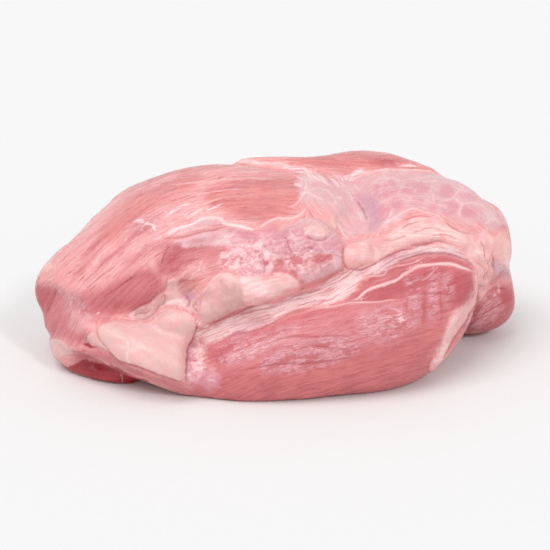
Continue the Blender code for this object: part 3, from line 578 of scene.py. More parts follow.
# Round swellings: side, then place, half length, half width and turn in degrees, then height.
BUMPS = {
    "nodule_a": ("front", (-39.5, 41, 3.6, 1.6, -20), 0.9),
    "nodule_b": ("front", (113, 55.6, 2.4, 2.3, 0), 0.8),
    "lump_a": ("front", (15.8, 68.4, 3.6, 1.9, 70), 0.8),
    "lump_b": ("front", (22.4, 70, 3.6, 2.4, 60), 0.8),
    "lump_c": ("front", (33.7, 74.6, 4.8, 2.8, -30), 0.7),
    "lump_d": ("front", (9, 71, 2.8, 1.8, 50), 0.6),
    "end_a": ("front", (113.6, 86, 3.0, 2.4, 0), 1.2),
    "end_b": ("front", (117.4, 79, 2.2, 3.2, -20), 1.3),
    "end_c": ("front", (112.8, 79.6, 1.9, 2.4, 10), 1.0),
    "end_d": ("front", (117.6, 71, 1.8, 3.4, 10), 1.0),
    "end_e": ("front", (113, 71, 1.9, 3.4, 20), 1.0),
    "end_f": ("front", (114.4, 63, 2.0, 3.0, 20), 0.9),
    "skin_a": ("front", (-56, 59, 4.0, 2.4, 60), 0.7),
    "skin_b": ("front", (-45.5, 52.5, 1.6, 3.2, 20), 0.7),
    "tangle_a": ("front", (-23, 79.5, 5.5, 2.4, 25), 0.8),
    "tangle_b": ("front", (-15, 82.5, 4.2, 2.4, 60), 0.7),
    "tangle_c": ("front", (-6, 79, 3.4, 1.8, 100), 0.6),
    "left_bump": ("front", (-125.5, 73, 3.4, 2.6, 45), 0.7),
    "flap_a": ("front", (-57, 42, 8, 4, 20), 0.8),
    "flap_b": ("front", (-85, 35, 8, 3.5, -20), 0.6),
    "flap_c": ("front", (-62, 23, 10, 4, -30), 0.6),
    "back_a": ("back", (-40, 42, 12, 5, 16), 1.2),
    "back_b": ("back", (8, 44, 9, 5, -10), 1.1),
    "back_c": ("back", (42, 32, 9, 4, -24), 1.0),
    "back_d": ("back", (-20, 26, 14, 6, 0), 1.0),
    "back_e": ("back", (-62, 28, 6, 5, 40), 0.9),
}
# The way the fibres run: side, outline, and a line along them.
GRAIN = {
    "blade": ("front", [
        (-137, 60), (-122, 88), (-95, 112), (-60, 130), (-20, 136), (14, 134), (19, 116), (11, 103),
        (-5, 93), (-14, 84), (-30, 72), (-56, 64), (-66, 54), (-80, 46), (-98, 44), (-110, 56), (-120, 62)], [
        (-129, 55), (-107, 76), (-85, 96), (-63, 110), (-41, 117), (-14, 121), (14, 121)]),
    "cut": ("front", [
        (-138, 62), (-120, 62), (-110, 56), (-98, 44), (-98, 30), (-112, 26), (-128, 28)], [
        (-104, 62), (-112, 48), (-119, 34), (-122, 24)]),
    "blood": ("front", [
        (-118, 20), (-90, 21), (-70, 11), (-60, 2), (-90, 0), (-120, 8)], [
        (-116, 16), (-96, 13), (-71, 7)]),
    "lip": ("front", [
        (-110, 28), (-100, 29), (-90, 26), (-78, 18), (-60, 12), (-46, 4), (-60, 2), (-80, 13), (-95, 20),
        (-110, 20)], [
        (-110, 24), (-96, 24), (-80, 17), (-60, 9), (-46, 2)]),
    "foreleg": ("front", [
        (-46, 30), (-30, 33), (-10, 39), (3, 45), (20, 51), (38, 54), (46, 64), (64, 75), (80, 80),
        (94, 81), (108, 76), (110, 60), (102, 49), (94, 36), (88, 14), (60, 0), (0, -6), (-40, 0)], [
        (-44, 6), (-8, 24), (30, 35), (68, 46), (109, 58)]),
    "band": ("front", [
        (-46, 30), (-43, 38), (-24, 47), (-8, 53), (10, 58), (27, 65), (44, 74), (64, 82), (94, 87),
        (112, 78), (108, 76), (94, 81), (80, 80), (64, 75), (46, 64), (38, 54), (20, 51), (3, 45),
        (-10, 39), (-30, 33)], [
        (-48, 30), (-28, 39), (-8, 46), (12, 53), (34, 60), (56, 74), (84, 83), (110, 77)]),
    "back_strip": ("front", [
        (-20, 131), (20, 126), (38, 122), (60, 127), (90, 125), (90, 140), (-20, 142)], [
        (-18, 133), (36, 131), (88, 128)]),
    "join": ("front", [
        (14, 128), (40, 121), (46, 108), (40, 88), (24, 99), (13, 104), (18, 116)], [
        (14, 126), (26, 112), (36, 98), (42, 88)]),
    "cap": ("front", [
        (40, 121), (62, 126), (90, 125), (116, 108), (136, 92), (100, 95), (80, 104), (60, 92), (46, 90),
        (46, 108)], [
        (44, 92), (54, 106), (66, 114), (86, 114), (108, 104), (128, 86)]),
    "back_top": ("back", [
        (-110, 76), (-60, 93), (0, 102), (60, 99), (98, 86), (112, 98), (60, 126), (0, 136), (-80, 122)], [
        (-112, 78), (-60, 100), (0, 116), (56, 112), (104, 90)]),
    "back_mid": ("back", [
        (-104, 70), (-60, 89), (0, 99), (60, 96), (96, 82), (84, 52), (62, 40), (24, 58), (-6, 64),
        (-34, 65), (-62, 58), (-92, 42), (-112, 50)], [
        (-108, 48), (-60, 74), (0, 84), (48, 72), (84, 50)]),
    "back_low": ("back", [
        (-96, 38), (-62, 57), (-34, 64), (-6, 63), (24, 57), (62, 36), (50, 4), (-40, -4), (-84, 12)], [
        (-84, 12), (-40, 34), (10, 40), (60, 30)]),
    "left_end": ("left", [
        (-70, 40), (-50, 55), (-30, 64), (-10, 65), (6, 56), (20, 40), (30, 20), (30, -10), (0, -20),
        (-40, -6), (-64, 16)], [
        (-66, 14), (-44, 32), (-12, 42), (22, 26)]),
    "right_end": ("right", [
        (-10, 30), (-4, 52), (12, 60), (34, 66), (60, 60), (76, 44), (80, 20), (60, 0), (10, -18),
        (-6, -4)], [
        (0, -12), (8, 16), (24, 34), (46, 44), (74, 44)]),
    "middle": ("front", [
        (-66, 53), (-56, 63), (-30, 71), (-14, 83), (-5, 92), (11, 102), (24, 98), (40, 88), (38, 72),
        (27, 66), (-8, 54), (-24, 48), (-43, 39), (-52, 44)], [
        (-60, 42), (-44, 58), (-16, 70), (14, 78), (40, 94)]),
    "end_muscle": ("front", [
        (102, 34), (112, 54), (118, 60), (134, 66), (138, 50), (126, 34), (108, 30)], [
        (100, 36), (114, 44), (134, 58)]),
}
# Where no line is drawn the fibres run along the length, round an axis at this depth and height, in a section
# that is this much flatter than a circle of this radius.
ROUND_AXIS = (5.0, 45.0)
ROUND_FLAT = 1.5
ROUND_RADIUS = 62.0
# The fibres of a muscle are also worked out this far past its outline. Each muscle reads its noise this far
# from the last one's, and each seed of the relief's noise this many sizes from the last.
GRAIN_MARGIN = 4.0
MUSCLE_STEP = 37.0
SEED_STEP = 17.3
# Sizes of the relief along and across the fibres, or along the three axes.
FIBRE_SIZE, BUNDLE_SIZE, SILK_SIZE = (30.0, 2.4, 1.0), (60.0, 7.0, 1.0), (22.0, 2.4, 1.0)
WRINKLE_SIZE = (7.0, 7.0, 4.0)
LUMP_SIZE, SMALL_LUMP_SIZE, PLATE_SIZE = 6.0, 2.6, 7.0
# Shares of the relief's height: bundles to fibres, small lumps to large, lumps in gristle to those in fat,
# and wrinkles to silk. A membrane hides this share of the fibres.
BUNDLES, SMALL_LUMPS, GRISTLE_LUMPS, WRINKLES, HIDDEN = 0.5, 0.6, 0.7, 0.5, 0.7
WRINKLE_STEEP = 4.0
# The plates of torn flesh are pushed aside this far, by noise of this size. Their edges are this steep, they
# are this high on average and differ this much, by noise read this many times as far apart as they are.
PLATE_BEND = 3.0
PLATE_BEND_SIZE = 5.0
PLATE_STEEP = 3.0
PLATE_HEIGHT, PLATE_UNEVEN, PLATE_APART = 0.6, 0.4, 3.1
TORN_SLOPE = 4.0
# The solid's flat underside, up to this height, stays on the floor.
FLAT_UNDERSIDE = 0.6
# How the solid is remeshed.
WELD_DISTANCE = 0.01
SMOOTHING_FACTOR = 0.5
REFINED_SMOOTHING = 2
# Marks this near make the mesh's cells finest.
FINE_REACH = 1.5
# Each tissue's edge: how ragged it is, the depths where it starts and where it is full, its full share, and
# how far broader noise shifts it.
EDGES = {
    "rose": (4.0, -3.0, 4.0, 0.85, 4.0),
    "salmon": (4.0, -5.0, 4.0, 0.6, 6.0),
    "amber": (3.0, -1.8, 2.4, 0.85, 3.0),
    "deep": (4.0, -3.0, 3.6, 0.8, 4.0),
    "film": (3.5, -1.0, 2.2, 1.0, 3.0),
    "lilac": (1.6, -1.4, 1.4, 0.85, 1.0),
    "mauve_and_shade": (1.0, -2.6, 3.0, 0.7, 2.0),
    "silk": (3.0, -1.2, 1.4, 1.0, 2.0),
    "gristle": (3.0, -0.8, 1.8, 1.0, 2.0),
    "torn": (4.0, -2.0, 3.0, 1.0, 0.0),
    "tallow": (3.0, -0.8, 1.8, 0.92, 2.0),
    "fat": (1.0, -0.3, 0.4, 0.96, 0.0),
    "blood": (1.6, -0.5, 1.0, 1.0, 0.0),
    "wet": (0.0, -3.0, 3.0, 1.0, 6.0),
    "cream": (0.0, -3.0, 3.5, 1.0, 5.0),
}
# The same for drawn lines, without broader noise.
LINE_EDGES = {
    "sinew": (0.9, -0.5, 0.9, 0.75),
    "crease_shade": (0.6, -0.6, 0.5, 0.65),
}
# Sizes of the material's noise: ragged edges, patches and broad patches, and the length and width of bundles,
# strands and hairs of fibre. The fibres are bent this far, by noise of these sizes.
RAGGED, PATCHY, BROAD = 2.4, 9.0, 26.0
BUNDLE, STRAND, HAIR = (60.0, 4.5), (26.0, 1.3), (11.0, 0.6)
FIBRE_BEND, FIBRE_BEND_SIZES = (2.0, 2.4, 0.0), (24.0, 14.0, 1.0)
# How much of each layer's colour covers those under it.
WET_SHARE, PAINTED_SHEEN_SHARE, SILK_SHARE, GRISTLE_SHARE, CREAM_SHARE = 0.4, 0.58, 0.9, 0.9, 0.2
COAT_WEIGHT = 0.4
# How far red, green and blue light travel in the meat, as shares of its depth.
LIGHT_DEPTHS = (1.0, 0.42, 0.32)
FLOOR_ROUGHNESS = 0.9
FLOOR_SPECULAR = 0.1
WHITE = (1.0, 1.0, 1.0, 1.0)
# Where the two lights stand, in metres. They shine on the meat from there, with parallel rays.
KEY_PLACE = (-0.35, -0.28, 1.0)
GLOSS_PLACE = (0.45, -0.55, 0.6)


def smooth_step(t):
    """From 0 to 1 as t does, level at both ends."""
    t = np.clip(t, 0.0, 1.0)
    return t * t * (3.0 - 2.0 * t)


def along(values, t):
    """The value at share t of a smooth line through evenly spaced values."""
    points = np.array(values, float)
    points = np.concatenate([[2 * points[0] - points[1]], points, [2 * points[-1] - points[-2]]])
    place = min(max(t, 0.0), 1.0) * (len(points) - 3)
    i = min(int(place), len(points) - 4)
    u = place - i
    a, b, c, d = points[i : i + 4]
    return 0.5 * (2 * b + (c - a) * u + (2 * a - 5 * b + 4 * c - d) * u**2 + (3 * b - a - 3 * c + d) * u**3)


def smooth_line(line, closed=False):
    """Dots along a smooth line through the points, round to the first one again if it is closed."""
    steps = len(line) * STEPS_EACH
    if closed:
        ring = line[-3:] + line + line[:3]
        low, high = 3 / (len(ring) - 1), (3 + len(line)) / (len(ring) - 1)
        return np.array([along(ring, low + (high - low) * i / steps) for i in range(steps + 1)])
    return np.array([along(line, i / steps) for i in range(steps + 1)])


def way_back(turn):
    """The level of sight's direction from the aim to the eye, for a side at this turn in degrees."""
    turn, tilt = math.radians(turn), math.radians(SIGHT_TILT)
    return np.array([math.sin(turn) * math.cos(tilt), -math.cos(turn) * math.cos(tilt), math.sin(tilt)])


def seen(co, turn):
    """How far right and up each place is seen from a side, and the directions to the eye."""
    back = way_back(turn)
    right = np.array([math.cos(math.radians(turn)), math.sin(math.radians(turn)), 0.0])
    to_eye = AIM + back * SIGHT_DISTANCE - co
    scale = SIGHT_DISTANCE / (to_eye @ back)
    flat = np.stack([(co - AIM) @ right * scale, (co - AIM) @ np.cross(back, right) * scale + AIM_UP], 1)
    return flat, to_eye / np.linalg.norm(to_eye, axis=1)[:, None]


def to_line(flat, dots):
    """Distance to a line of dots, above zero on its left, and the share of the line at that place."""
    ahead = np.gradient(dots, axis=0)
    best = np.full(len(flat), np.inf)
    side = np.zeros(len(flat))
    share = np.zeros(len(flat))
    for i, (a, b) in enumerate(zip(dots[:-1], dots[1:])):
        part = np.clip((flat - a) @ (b - a) / ((b - a) @ (b - a)), 0.0, 1.0)[:, None]
        off = flat - a - part * (b - a)
        way = ahead[i] * (1.0 - part) + ahead[i + 1] * part
        distance = np.hypot(off[:, 0], off[:, 1])
        nearer = distance < best
        best[nearer] = distance[nearer]
        side[nearer] = np.sign(way[nearer, 0] * off[nearer, 1] - way[nearer, 1] * off[nearer, 0])
        share[nearer] = (i + part[nearer, 0]) / (len(dots) - 1)
    return best, side, share


def inside(flat, dots):
    """How far inside a closed line each place is, negative outside."""
    distance = to_line(flat, dots)[0]
    within = np.zeros(len(flat), bool)
    for (ax, ay), (bx, by) in zip(dots[:-1], dots[1:]):
        if ay != by:
            level = (flat[:, 1] > ay) != (flat[:, 1] > by)
            within ^= level & (flat[:, 0] < (bx - ax) * (flat[:, 1] - ay) / (by - ay) + ax)
    return np.where(within, distance, -distance)


def read(mesh, name):
    out = np.empty(len(mesh.vertices) * 3)
    mesh.vertices.foreach_get(name, out)
    return out.reshape(-1, 3)


def counts(items, name):
    out = np.empty(len(items), int)
    items.foreach_get(name, out)
    return out


def lumps(places, scale, seed):
    """Smooth noise between -1 and 1 at each place, with lumps of the given sizes along the three axes."""
    return np.array([noise.noise(Vector(place)) for place in places / np.array(scale) + seed * SEED_STEP])


class Skin:
    """The meat's surface in millimetres, and how each side sees it."""

    BROAD_WANDER = [(9.0, 0.6)]
    FINE_WANDER = [(3.0, 0.45), (1.6, 0.3)]

    def __init__(self, mesh):
        self.mesh = mesh
        self.co = read(mesh, "co") / MM
        self.out = read(mesh, "normal")
        self.flat = {}
        self.straight = {}
        self.facing = {}
        self.shown = {}
        broad, fine = self.wander(self.BROAD_WANDER), self.wander(self.FINE_WANDER)
        for side, turn in SIDES.items():
            flat, to_eye = seen(self.co, turn)
            self.straight[side] = flat + broad
            self.flat[side] = flat + broad + fine
            self.facing[side] = np.sum(self.out * to_eye, axis=1)
            shown = self.facing[side]
            if side != "front":
                shown = np.minimum(shown, FRONT_FROM - self.facing["front"])
            self.shown[side] = shown * FACING_DEPTH

    def wander(self, sizes):
        """How far noise pushes each place aside, so that drawn edges and lines wander."""
        return sum(np.stack([lumps(self.co, size, seed) * far for seed in (1, 2)], 1) for size, far in sizes)

    def near(self, side, dots, reach):
        """The places that a side sees, or nearly, in the box round the dots."""
        flat = self.flat[side]
        close = np.all((flat > dots.min(0) - reach) & (flat < dots.max(0) + reach), axis=1)
        return np.flatnonzero(close & (self.shown[side] > -REACH))

    def area(self, side, outline):
        """How far inside an outline each place is, in millimetres, and -REACH far outside or unseen."""
        dots = smooth_line(outline, closed=True)
        some = self.near(side, dots, REACH)
        depth = np.full(len(self.co), -REACH)
        depth[some] = np.minimum(inside(self.flat[side][some], dots), self.shown[side][some])
        return np.clip(depth, -REACH, REACH)

    def round_spot(self, side, spot):
        """1 at a spot's middle, 0 at its edge and less outside."""
        x, y, long, wide, turn = spot
        turn = math.radians(turn)
        off = self.flat[side] - np.array((x, y), float)
        u = (off[:, 0] * math.cos(turn) + off[:, 1] * math.sin(turn)) / long
        v = (off[:, 1] * math.cos(turn) - off[:, 0] * math.sin(turn)) / wide
        return 1.0 - np.hypot(u, v)

    def tissue(self, areas, spots):
        """How deep in a tissue each place is, by its outlines and its small marks."""
        depth = np.full(len(self.co), -REACH)
        for side, outline in areas.values():
            depth = np.maximum(depth, self.area(side, outline))
        for side, places in spots.values():
            for spot in places:
                inner = np.clip(self.round_spot(side, spot) * SPOT_DEPTH, -REACH, REACH)
                depth = np.maximum(depth, np.minimum(inner, self.shown[side]))
        return depth

    def lines(self, marks):
        """Each place's distance to the nearest line, above zero on its left, that line's half width, and how
        high or deep the lines make the place.
        """
        best = np.full(len(self.co), REACH)
        across = np.full(len(self.co), REACH)
        half = np.full(len(self.co), NO_LINE)
        height = np.zeros(len(self.co))
        for side, line, wide, high in marks:
            dots = smooth_line(line)
            some = self.near(side, dots, LINE_REACH)
            distance, left, share = to_line(self.straight[side][some], dots)
            fade = smooth_step(self.shown[side][some] / REACH)
            fade *= smooth_step(share / LINE_TAPER) * smooth_step((1.0 - share) / LINE_TAPER)
            height[some] += high * np.exp(-((distance / (RIDGE_SPREAD * wide + RIDGE_LEAST)) ** 2)) * fade
            nearer = distance < best[some]
            chosen = some[nearer]
            best[chosen] = distance[nearer]
            across[chosen] = (distance * left)[nearer]
            half[chosen] = np.where(distance < LINE_DRAWN, wide * fade, NO_LINE)[nearer]
        return across, half, height

    def raised(self, side, outline, high, edge):
        """How high a part that stands proud lifts each place."""
        return high * smooth_step(self.area(side, outline) / edge + 0.5)

    def bump(self, side, spot, high):
        """How high a round swelling lifts each place."""
        swelling = smooth_step(BUMP_SKIRT + self.round_spot(side, spot))
        return high * swelling * smooth_step(self.shown[side] / REACH)

    def fine(self):
        """Whether each place is near the front's lines, small marks or raised edges."""
        near = np.zeros(len(self.co), bool)
        for side, line, *_ in [*SINEWS.values(), *CREASES.values()]:
            dots = smooth_line(line)
            some = self.near(side, dots, FINE_REACH)
            near[some] |= to_line(self.flat[side][some], dots)[0] < FINE_REACH
        for side, outline, _, edge in RAISED.values():
            near |= np.abs(self.area(side, outline)) < edge
        for spots in SPOTS.values():
            for side, places in spots.values():
                for spot in places:
                    near |= self.round_spot(side, spot) > -SPOT_MARGIN
        return near & (self.shown["front"] > 0.0)

    def grain(self):
        """Along and across the fibres, and a number for each muscle: for each place, and for each corner."""
        x, y, z = self.co.T
        round_way = np.arctan2((z - ROUND_AXIS[1]) * ROUND_FLAT, ROUND_AXIS[0] - y) * ROUND_RADIUS
        ways = [np.stack([x, round_way, np.zeros(len(x))], 1)]
        best = np.zeros(len(x))
        muscle = np.zeros(len(x), int)
        for number, (side, outline, line) in enumerate(GRAIN.values(), 1):
            depth = self.area(side, outline)
            dots = smooth_line(line)
            length = np.sum(np.hypot(*np.diff(dots, axis=0).T))
            some = np.flatnonzero(depth > -GRAIN_MARGIN)
            distance, left, share = to_line(self.flat[side][some], dots)
            way = np.zeros((len(x), 3))
            apart = np.full(len(some), MUSCLE_STEP * number)
            way[some] = np.stack([share * length, distance * left, apart], 1)
            ways.append(way)
            muscle[depth > best] = number
            best = np.maximum(best, depth)
        corners = counts(self.mesh.loops, "vertex_index")
        starts = counts(self.mesh.polygons, "loop_start")
        of_corner = np.repeat(muscle[corners[starts]], counts(self.mesh.polygons, "loop_total"))
        ways = np.array(ways)
        return ways[muscle, np.arange(len(x))], ways[of_corner, corners]


def keep(mesh, name, values, kind="FLOAT", domain="POINT"):
    """Writes values on the mesh, where the material reads them by name."""
    attribute = mesh.attributes.new(name, kind, domain)
    field = "value" if kind == "FLOAT" else "vector"
    attribute.data.foreach_set(field, np.ascontiguousarray(values, np.float32).ravel())


def applied(obj, kind, **settings):
    """Runs one modifier on the object's mesh and keeps the outcome."""
    modifier = obj.modifiers.new(kind, kind)
    for name, value in settings.items():
        setattr(modifier, name, value)
    graph = bpy.context.evaluated_depsgraph_get()
    old = obj.data
    obj.data = bpy.data.meshes.new_from_object(obj.evaluated_get(graph))
    obj.modifiers.clear()
    bpy.data.meshes.remove(old)


def plates(places, size):
    """Flat-topped plates with gaps between them: 0 in the gaps, up to 1 on the highest plate."""
    height = np.zeros(len(places))
    for i, place in enumerate(places / size):
        near, corners = noise.voronoi(Vector(place))
        top = PLATE_HEIGHT + PLATE_UNEVEN * noise.cell(corners[0] * PLATE_APART)
        height[i] = min((near[1] - near[0]) * PLATE_STEEP, 1.0) * top
    return height


def cover(depth, slope=2.0):
    """From 0 outside a tissue to 1 inside it, over a slope this wide in millimetres."""
    return smooth_step(0.5 + depth / slope)


def fine_relief(skin, tissue, place_grain, shape):
    """Height of fibres, fat lumps, wrinkles and torn plates at each place, in millimetres."""
    fat = cover(np.maximum(tissue["fat"], tissue["tallow"]))
    smooth = cover(tissue["gristle"])
    film = cover(np.maximum(tissue["film"], tissue["silk"])) * (1.0 - fat) * (1.0 - smooth)
    torn = cover(tissue["torn"], TORN_SLOPE)
    lean = (1.0 - fat) * (1.0 - HIDDEN * film) * (1.0 - torn) * (1.0 - smooth)
    fibres = lumps(place_grain, FIBRE_SIZE, 3) + BUNDLES * lumps(place_grain, BUNDLE_SIZE, 4)
    wrinkled = 1.0 - np.abs(lumps(skin.co, WRINKLE_SIZE, 6)) * WRINKLE_STEEP
    silky = lumps(place_grain, SILK_SIZE, 9)
    height = fibres * lean * shape.fibre_height
    soft = np.maximum(fat, GRISTLE_LUMPS * smooth)
    lumpy = lumps(skin.co, LUMP_SIZE, 5) + SMALL_LUMPS * lumps(skin.co, SMALL_LUMP_SIZE, 8)
    height += lumpy * soft * shape.fat_height
    height += (WRINKLES * wrinkled + silky) * film * shape.film_height
    some = np.flatnonzero(torn > 0.0)
    push = np.stack([lumps(skin.co[some], PLATE_BEND_SIZE, seed) for seed in (11, 12, 13)], 1)
    plate = plates(skin.co[some] + push * PLATE_BEND, PLATE_SIZE)
    height[some] += (plate - 0.5) * torn[some] * shape.torn_height
    return height / MM


def work_flesh(mesh, shape):
    """Works the fine forms into the surface and writes its tissues on it."""
    skin = Skin(mesh)
    tissue = {name: skin.tissue(areas, SPOTS.get(name, {})) for name, areas in TISSUES.items()}
    for name, depth in tissue.items():
        keep(mesh, name, depth)
    height = np.zeros(len(skin.co))
    sinews = [(*mark, shape.sinew_height / MM) for mark in SINEWS.values()]
    creases = [(*mark, -deep) for *mark, deep in CREASES.values()]
    for name, marks in (("sinew", sinews), ("crease_shade", creases)):
        across, half, high = skin.lines(marks)
        keep(mesh, name + "_across", across)
        keep(mesh, name + "_half", half)
        height += high
    for mark in RAISED.values():
        height += skin.raised(*mark)
    for mark in BUMPS.values():
        height += skin.bump(*mark)
    place_grain, corner_grain = skin.grain()
    keep(mesh, "grain", corner_grain, "FLOAT_VECTOR", "CORNER")
    rise = fine_relief(skin, tissue, place_grain, shape)
    keep(mesh, "rise", rise)
    height += rise
    co = (skin.co + skin.out * height[:, None]) * MM
    level = skin.co[:, 2]
    co[:, 2] = np.where(level < FLAT_UNDERSIDE, level * MM, np.maximum(co[:, 2], 0.0))
    mesh.vertices.foreach_set("co", co.ravel())
    mesh.update()


def halve_cells(mesh, chosen):
    """Halves the mesh's cells where all their corners are chosen."""
    work = bmesh.new()
    work.from_mesh(mesh)
    edges = [edge for edge in work.edges if all(chosen[v.index] for v in edge.verts)]
    bmesh.ops.subdivide_edges(work, edges=edges, cuts=1, use_grid_fill=True)
    work.to_mesh(mesh)
    work.free()


class Wiring:
    """Adds shader nodes to one material and joins them."""

    # The mix node's sockets: two colours in and one out, and two numbers in and one out.
    COLOUR_A, COLOUR_B, COLOUR_OUT = 6, 7, 2
    NUMBER_A, NUMBER_B, NUMBER_OUT = 2, 3, 0

    def __init__(self, material):
        material.use_nodes = True
        self.tree = material.node_tree

    def put(self, socket, value):
        if isinstance(value, bpy.types.NodeSocket):
            self.tree.links.new(value, socket)
        else:
            socket.default_value = value

    def add(self, kind, inputs, out=0, **settings):
        node = self.tree.nodes.new("ShaderNode" + kind)
        for name, value in settings.items():
            setattr(node, name, value)
        for socket, value in inputs.items():
            self.put(node.inputs[socket], value)
        return node.outputs[out]

    def read(self, name, out="Fac"):
        return self.add("Attribute", {}, out, attribute_name=name)

    def dress(self, values):
        """Sets or joins the inputs of the material's surface."""
        surface = self.tree.nodes["Principled BSDF"]
        for name, value in values.items():
            self.put(surface.inputs[name], value)

    def math(self, operation, a, b=0.0):
        return self.add("Math", {0: a, 1: b}, operation=operation)

    def plus(self, a, b):
        return self.math("ADD", a, b)

    def minus(self, a, b):
        return self.math("SUBTRACT", a, b)

    def size(self, a):
        return self.math("ABSOLUTE", a)

    def times(self, a, b):
        return self.math("MULTIPLY", a, b)

    def most(self, a, b):
        return self.math("MAXIMUM", a, b)

    def ramp(self, value, low, high, start=0.0, end=1.0):
        """From start to end as the value goes from low to high, level at both ends."""
        inputs = {0: value, 1: low, 2: high, 3: start, 4: end}
        return self.add("MapRange", inputs, interpolation_type="SMOOTHSTEP")

    def mix(self, share, a, b, blend="MIX"):
        inputs = {0: share, self.COLOUR_A: a, self.COLOUR_B: b}
        return self.add("Mix", inputs, self.COLOUR_OUT, data_type="RGBA", blend_type=blend)

    def stretch(self, vector, sizes):
        by = tuple(1.0 / size for size in sizes)
        return self.add("VectorMath", {0: vector, 1: by}, operation="MULTIPLY")

    def noise(self, vector, size=1.0, detail=2.0, rough=0.5, distortion=0.0):
        inputs = {"Vector": vector, "Scale": 1.0 / size, "Detail": detail, "Roughness": rough,
                  "Distortion": distortion}
        return self.add("TexNoise", inputs)


